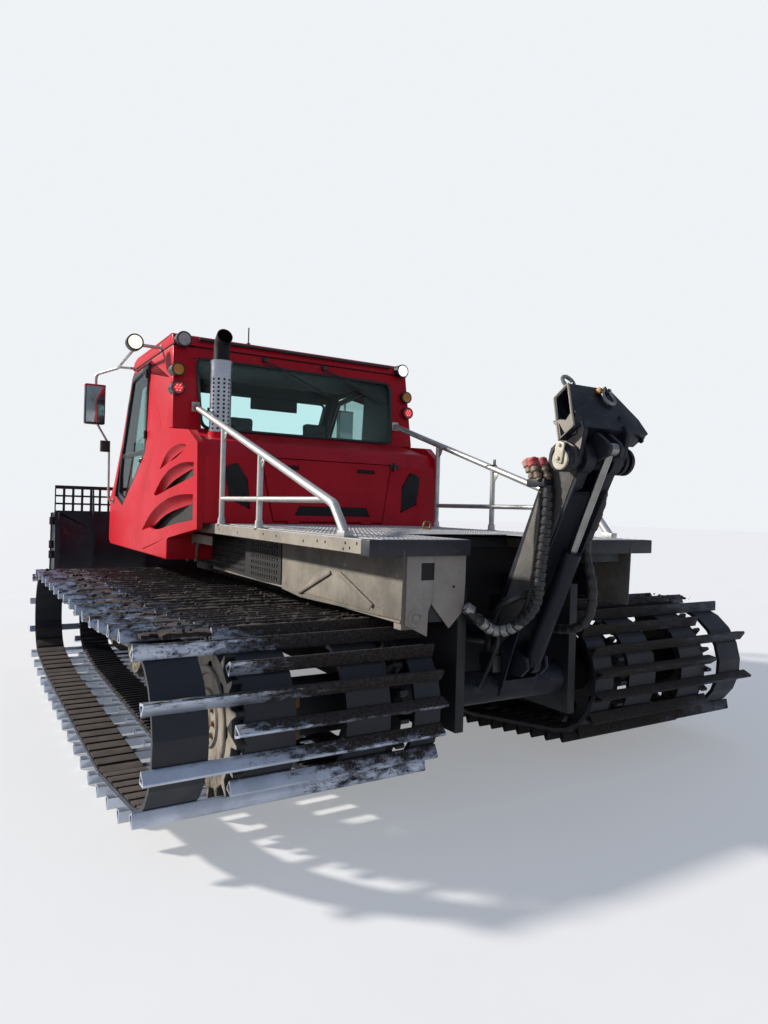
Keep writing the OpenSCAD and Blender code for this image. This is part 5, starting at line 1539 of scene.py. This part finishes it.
class GROOMER_OT_blade(Piece, bpy.types.Operator):
    """Front blade, its wings, frame and cylinders"""

    bl_idname = "groomer.blade"
    bl_label = "Front blade"

    def execute(self, context):
        for node in ("blade", "wing_left", "wing_right", "blade_frame", "blade_swivel"):
            obj = refined(node, node + "_steel", 0.004, 2, shortest=0.05)
            done(obj, node, "blade_black", "black_steel", replaces=[node])
        for node in ("blade_lift_barrels", "angle_barrel_left", "angle_barrel_right"):
            dress(node, "black_steel")
        for node in ("blade_lift_rods", "angle_rod_left", "angle_rod_right"):
            dress(node, "rod_chrome")
        edge = plate("cutting_edge", [(-6012, 424), (-5950, 536), (-5962, 540),
            (-6024, 430)], "x", -1700, 1700, 2)
        bolt = lathe("bolt", ORIGIN, UPWARDS, [(-2, 15), (4, 13), (6, 8)], 10)
        bolts = copies(bolt, spots([at(-1620 + 180 * i, -5992, 484) for i in range(19)],
            (0, -0.88, 0.47)), "bolts")
        done(join("cutting_edge", [edge, bolts]), "blade", "rusty_steel", "rusty_steel")
        return {"FINISHED"}


HEAD_FRAME = Matrix.Translation(at(0, 905, 2030)) @ Matrix.Rotation(math.radians(34), 4, "X")


def on_head(x, y, z):
    """A place on the coupler head, in the frame of its leaning plates."""
    return HEAD_FRAME @ (Vector((x, y, z)) * MM)


class GROOMER_OT_carrier(Piece, bpy.types.Operator):
    """Rear carrier: arm with its dusty side plates, coupler head, cylinders and lever plate"""

    bl_idname = "groomer.carrier"
    bl_label = "Rear carrier"

    def execute(self, context):
        arm = refined("carrier_arm", "carrier_arm_steel", 0.005, 2, shortest=0.05)
        done(arm, ARM, "carrier_black", "carrier_paint", replaces=["carrier_arm"])
        head = refined("coupler_head", "coupler_head_steel", 0.005, 2, shortest=0.03)

        def neck(p):
            return 1 if p.normal.x > 0.7 and 0.12 < p.center.x < 0.2 and p.center.z < 2.06 else 0

        done(head, "coupler_head", "carrier_black", "carrier_paint", "dusty_plate",
            replaces=["coupler_head"], choose=neck)
        for node in ("tilt_barrel", "lift_barrel"):
            dress(node, "carrier_paint")
        for node in ("tilt_rod", "lift_rod"):
            dress(node, "rod_chrome")
        side = [(262, 900), (430, 960), (520, 1105), (866, 1860), (838, 1936), (742, 1968),
            (680, 1930), (650, 1850)]
        plates = [plate("plate", side, "x", 129, 134, 2), plate("plate", side, "x", -134, -129, 2)]
        done(join("arm_plates", plates), ARM, "carrier_black", "arm_dust", "carrier_paint",
            choose=lambda p: 0 if p.center.x > 0 else 1)
        lug = lathe("lug", at(128, 760, 1905), (1, 0, 0),
            [(0, 74), (10, 74), (12, 70), (12, 40), (8, 36), (8, 10)], 30)
        lever = [
            plate("lever", rounded([Vector(p) for p in ((828, 1960), (884, 1946), (866, 1842), (810, 1858))],
                14, 4), "x", 249, 258, 3),
            lathe("bolt", at(258, 853, 1936), (1, 0, 0), [(0, 10), (7, 10), (9, 7)], 6),
            lathe("bolt", at(258, 841, 1872), (1, 0, 0), [(0, 12), (7, 12), (9, 8)], 6),
            lathe("disc", at(238, 845, 1866), (1, 0, 0), [(0, 52), (8, 52), (11, 48)], 32),
        ]
        done(join("arm_lug", [lug]), ARM, "carrier_black", "arm_dust")
        done(join("lever_plate", lever), "coupler_head", "sprocket_cream", "lever_cream")
        lips = []
        for y in (-2, -116):
            lips.append(tube("lip", [on_head(219, y, -1), on_head(181, y, 96),
                on_head(100, y, 288)], 7, 8, False))
        lips.append(tube("lip", [on_head(100, -2, 287), on_head(100, -116, 287)], 7, 8, False))
        done(join("head_lips", lips), "coupler_head", "carrier_black", "dusty_plate")
        ends = []
        for s in (1, -1):
            ends.append(lathe("end", at(s * 231, 830, 1880), (s, 0, 0),
                [(0, 70), (6, 70), (9, 66), (9, 50), (3, 46), (3, 12)], 32))
        for x, z in ((-322, 70), (-326, 12), (-300, -14)):
            ends.append(lathe("nut", on_head(x + 4, -40, z), (-1, 0, 0), [(0, 15), (12, 15), (14, 8)], 6))
        done(join("head_caps", ends), "coupler_head", "carrier_black", "black_steel")
        return {"FINISHED"}


def along_line(points, step):
    """Evenly spaced points with directions on a smooth line through control points."""
    fine = flow(points, 12)
    out, carry = [], 0.0
    for a, b in zip(fine, fine[1:]):
        d = (b - a).length
        while carry <= d and d > 0:
            out.append((a.lerp(b, carry / d), (b - a).normalized()))
            carry += step
        carry -= d
    return out, fine


def hose(name, points, radius, ring=0.0, pitch=10, ring_share=0.5, sides=14):
    """Hose with rings of a raised wrap on it; ring is how far they stand proud, in mm."""
    marks, fine = along_line(points, pitch * MM)
    core = tube(name, fine, radius, sides, False)
    if not ring:
        return core, None
    h = pitch * ring_share / 2
    one = lathe("ring", ORIGIN, UPWARDS, [(-h, radius - 1), (-h * 0.6, radius + ring),
        (h * 0.6, radius + ring), (h, radius - 1)], sides)
    places = [Matrix.Translation(p) @ d.to_track_quat("Z", "Y").to_matrix().to_4x4() for p, d in marks[1:-1]]
    return core, copies(one, places, name + "_rings")


class GROOMER_OT_hoses(Piece, bpy.types.Operator):
    """Hydraulic hoses with their wraps, the manifold and the capped couplings"""

    bl_idname = "groomer.hoses"
    bl_label = "Hoses"

    def execute(self, context):
        thin = line_at((150, 618, 1705), (150, 612, 1640), (150, 598, 1560), (150, 590, 1450),
            (150, 596, 1300), (150, 572, 1180), (150, 520, 1060), (150, 400, 930),
            (150, 322, 860), (150, 310, 790))
        second = line_at((184, 650, 1705), (184, 650, 1640), (180, 646, 1560), (176, 626, 1430),
            (172, 604, 1300), (176, 590, 1190), (182, 550, 1080), (184, 420, 940),
            (184, 324, 860), (184, 312, 790))
        plain = line_at((160, 240, 790), (160, 246, 880), (190, 310, 970), (232, 410, 1078), (228, 490, 1130),
            (180, 526, 1158), (128, 530, 1160))
        parts = []
        for line in (thin, second):
            parts += hose("hose", line, 9, 4, 14, 0.62, 10)
        core, _ = hose("hose", plain, 24, 0, 10)
        base = block("manifold", (132, 208, 702), (198, 332, 798), 6)
        done(join("arm_hoses", [*parts, core, base]), ARM, "hose_rubber", "hose_rubber",
            replaces=["carrier_hoses"])
        right = line_at((-160, 745, 1775), (-160, 758, 1694), (-160, 713, 1561), (-158, 668, 1476),
            (-158, 656, 1400), (-158, 680, 1312), (-158, 708, 1212), (-158, 708, 1110), (-158, 672, 1022),
            (-156, 579, 966), (-148, 470, 950), (-124, 400, 950))
        core, rings = hose("hose", right, 24, 3, 62, 0.72)
        done(join("right_hose", [core, rings]), ARM, "hose_rubber", "dusty_hose")
        big = line_at((430, 364, 1085), (360, 404, 1013), (270, 414, 958), (220, 474, 968), (196, 552, 1024),
            (184, 622, 1098), (182, 654, 1182), (176, 664, 1320), (168, 674, 1450), (166, 688, 1580),
            (166, 692, 1680), (166, 690, 1742))
        core, rings = hose("hose", big, 27, 4, 46, 0.8)
        done(join("wrapped_hose", [core]), ARM, "hose_rubber", "hose_rubber")
        tip, along = at(430, 364, 1085), Vector((0.74, -0.42, 0.52))
        ferrule = lathe("ferrule", tip - along * 0.052, along,
            [(0, 30), (4, 33), (44, 33), (50, 29), (52, 22), (58, 22), (60, 14)], 20)
        done(join("hose_ferrule", [ferrule]), ARM, "guard_chrome", "shackle_steel")

        def wrap(p):
            return 0 if 0.25 < p.center.x < 0.36 or (p.center.x > 0.2 and p.center.z < 1.0) else 1

        done(join("hose_wraps", [rings]), ARM, "hose_rubber", "hose_wrap", "hose_rubber", choose=wrap)
        low = line_at((240, 330, 1000), (250, 430, 930), (262, 404, 810), (270, 350, 700), (276, 310, 630))
        core, rings = hose("hose", low, 10, 3, 12, 0.6, 10)
        done(join("drain_hose", [core, rings]), ARM, "hose_rubber", "hose_rubber")
        rack = block("coupling_rack", (132, 566, 1736), (204, 698, 1778), 5)
        bodies, caps = [], []
        lean = Vector((0.08, -0.42, 0.904))
        for x, y in ((172, 588), (168, 640), (170, 694), (206, 664)):
            p = at(x, y, 1772)
            bodies.append(lathe("body", p, lean, [(0, 15), (12, 15), (14, 22), (30, 24), (32, 17), (50, 17),
                (52, 26), (66, 26), (68, 22), (84, 22)], 14))
            caps.append(lathe("cap", p + lean * 0.08, lean, [(0, 26), (4, 29), (32, 30), (42, 23)], 16))
        done(join("coupling_rack", [rack]), ARM, "hose_rubber", "black_steel")
        done(join("coupling_bodies", bodies), ARM, "coupling_red", "coupler_metal",
            replaces=["hose_couplings"])
        done(join("coupling_cap_pale", caps[:1]), ARM, "coupling_red", "pale_cap")
        done(join("coupling_caps", caps[1:]), ARM, "coupling_red", "red_cap")
        return {"FINISHED"}


class GROOMER_OT_shackles(Piece, bpy.types.Operator):
    """Bow shackles on the coupler head, one with a yellow pin"""

    bl_idname = "groomer.shackles"
    bl_label = "Shackles"

    def execute(self, context):
        bow = ((-24, -12), (-30, 22), (-40, 52), (-24, 80), (0, 90), (24, 80), (40, 52), (30, 22), (24, -12))
        bows, pins = [], []
        for x, y, z, way in ((10, -59, 314, 1), (-130, 10, 250, -1)):
            out = 8 if way < 0 else 0
            line = [on_head(x + dx, y + out, z + way * dz) for dx, dz in bow]
            bows.append(tube("bow", line, 11, 12))
            a, b = on_head(x - 40, y + out, z), on_head(x + 40, y + out, z)
            pins.append(tube("pin", [a, b], 10, 12, False))
            pins.append(lathe("head", on_head(x + 34, y + out, z), (1, 0, 0),
                [(0, 17), (16, 17), (18, 12)], 6))
            for s in (-1, 1):
                bows.append(lathe("ear", on_head(x + s * 24 - 7, y + out, z), (1, 0, 0),
                    [(0, 18), (14, 18)], 16))
        done(join("shackle_bows", bows), "coupler_head", "shackle_steel",
            "shackle_steel", replaces=["shackles"])
        done(join("shackle_pins", pins), "coupler_head", "shackle_steel", "yellow_pin")
        return {"FINISHED"}


class GROOMER_OT_studio(Piece, bpy.types.Operator):
    """Pale floor, soft light and the camera"""

    bl_idname = "groomer.studio"
    bl_label = "Studio"

    def execute(self, context):
        scene = context.scene
        clear()
        bpy.ops.mesh.primitive_plane_add(size=160, location=(0, 0, -0.002))
        floor = named("floor")
        bpy.ops.object.transform_apply()
        material, tree, shader = new_material("studio_floor")
        light = wire(tree, "ShaderNodeLightPath").outputs
        seen = sums(tree, "MAXIMUM", light["Is Camera Ray"],
            sums(tree, "MAXIMUM", light["Is Glossy Ray"], light["Is Transmission Ray"]))
        place = wire(tree, "ShaderNodeTexCoord").outputs["Object"]
        pale = tint(tree, cloud(tree, place, 1.2, 3.0), (0.55, 0.55, 0.55), (0.6, 0.6, 0.6))
        colour = tint(tree, seen, (0.2, 0.18, 0.17), pale)
        glow = tint(tree, seen, (0, 0, 0), (0.86, 0.88, 0.9))
        feed(tree, shader, {"Base Color": colour, "Emission Color": glow,
            "Emission Strength": 0.36, "Roughness": 0.9})
        floor.data.materials.append(material)
        world = bpy.data.worlds.new("studio_world")
        scene.world = world
        world.use_nodes = True
        tree = world.node_tree
        light = wire(tree, "ShaderNodeLightPath").outputs
        reflected = sums(tree, "MULTIPLY", light["Is Glossy Ray"], 0.2)
        seen = sums(tree, "MAXIMUM", reflected, sums(tree, "MAXIMUM", light["Is Camera Ray"],
            light["Is Transmission Ray"]))
        back = tree.nodes["Background"]
        direction = wire(tree, "ShaderNodeTexCoord").outputs["Generated"]
        height = wire(tree, "ShaderNodeSeparateXYZ", {0: direction}).outputs[2]
        sky = tint(tree, ramp(tree, height, -0.05, 0.7), (0.26, 0.29, 0.35), (0.16, 0.21, 0.32))
        feed(tree, back, {0: tint(tree, seen, sky, (0.86, 0.89, 0.92)), 1: 1.0})
        lamp = bpy.data.lights.new("key", "SUN")
        lamp.energy = 4.8
        lamp.angle = math.radians(4)
        lamp.color = (1.0, 0.95, 0.88)
        key = bpy.data.objects.new("key", lamp)
        scene.collection.objects.link(key)
        key.rotation_mode = "QUATERNION"
        key.rotation_quaternion = Vector((0.7, -0.6, 0.48)).to_track_quat("Z", "Y")
        s = sizes()
        data = bpy.data.cameras.new("camera")
        data.lens = s.focal
        data.sensor_width = 36
        data.clip_end = 200
        camera = bpy.data.objects.new("camera", data)
        scene.collection.objects.link(camera)
        yaw, pitch, roll = s.camera_turn
        forward = Vector((-math.sin(yaw), -math.cos(yaw), 0))
        right = Vector((-math.cos(yaw), math.sin(yaw), 0))
        up = Vector((0, 0, 1))
        look = forward * math.cos(pitch) + up * math.sin(pitch)
        top = up * math.cos(pitch) - forward * math.sin(pitch)
        side = right * math.cos(roll) + top * math.sin(roll)
        top = top * math.cos(roll) - right * math.sin(roll)
        turn = Matrix((side, top, -look)).transposed().to_4x4()
        camera.matrix_world = Matrix.Translation(Vector(s.camera_place)) @ turn
        scene.camera = camera
        scene.view_settings.view_transform = "Standard"
        return {"FINISHED"}


OPERATORS = [
    GROOMER_OT_cab, GROOMER_OT_windows, GROOMER_OT_hood, GROOMER_OT_intakes, GROOMER_OT_doors,
    GROOMER_OT_exhaust, GROOMER_OT_lamps, GROOMER_OT_mirrors, GROOMER_OT_wipers, GROOMER_OT_interior,
    GROOMER_OT_deck, GROOMER_OT_rails, GROOMER_OT_chassis, GROOMER_OT_tracks, GROOMER_OT_mud,
    GROOMER_OT_wheels, GROOMER_OT_blade, GROOMER_OT_carrier, GROOMER_OT_hoses, GROOMER_OT_shackles,
    GROOMER_OT_studio,
]


class GROOMER_PT_panel(bpy.types.Panel):
    """Lists the groomer's pieces"""

    bl_label = "Groomer"
    bl_idname = "GROOMER_PT_panel"
    bl_space_type = "VIEW_3D"
    bl_region_type = "UI"
    bl_category = "Groomer"

    def draw(self, context):
        for operator in OPERATORS:
            self.layout.operator(operator.bl_idname)


CLASSES = [GroomerSizes, GroomerColours, *OPERATORS, GROOMER_PT_panel]


def register():
    for c in CLASSES:
        bpy.utils.register_class(c)
    bpy.types.Scene.groomer_sizes = bpy.props.PointerProperty(type=GroomerSizes)
    bpy.types.Scene.groomer_colours = bpy.props.PointerProperty(type=GroomerColours)


def unregister():
    del bpy.types.Scene.groomer_colours
    del bpy.types.Scene.groomer_sizes
    for c in reversed(CLASSES):
        bpy.utils.unregister_class(c)


def main():
    register()
    for operator in OPERATORS:
        group_name, piece_name = operator.bl_idname.split(".")
        getattr(getattr(bpy.ops, group_name), piece_name)()


if __name__ == "__main__":
    main()
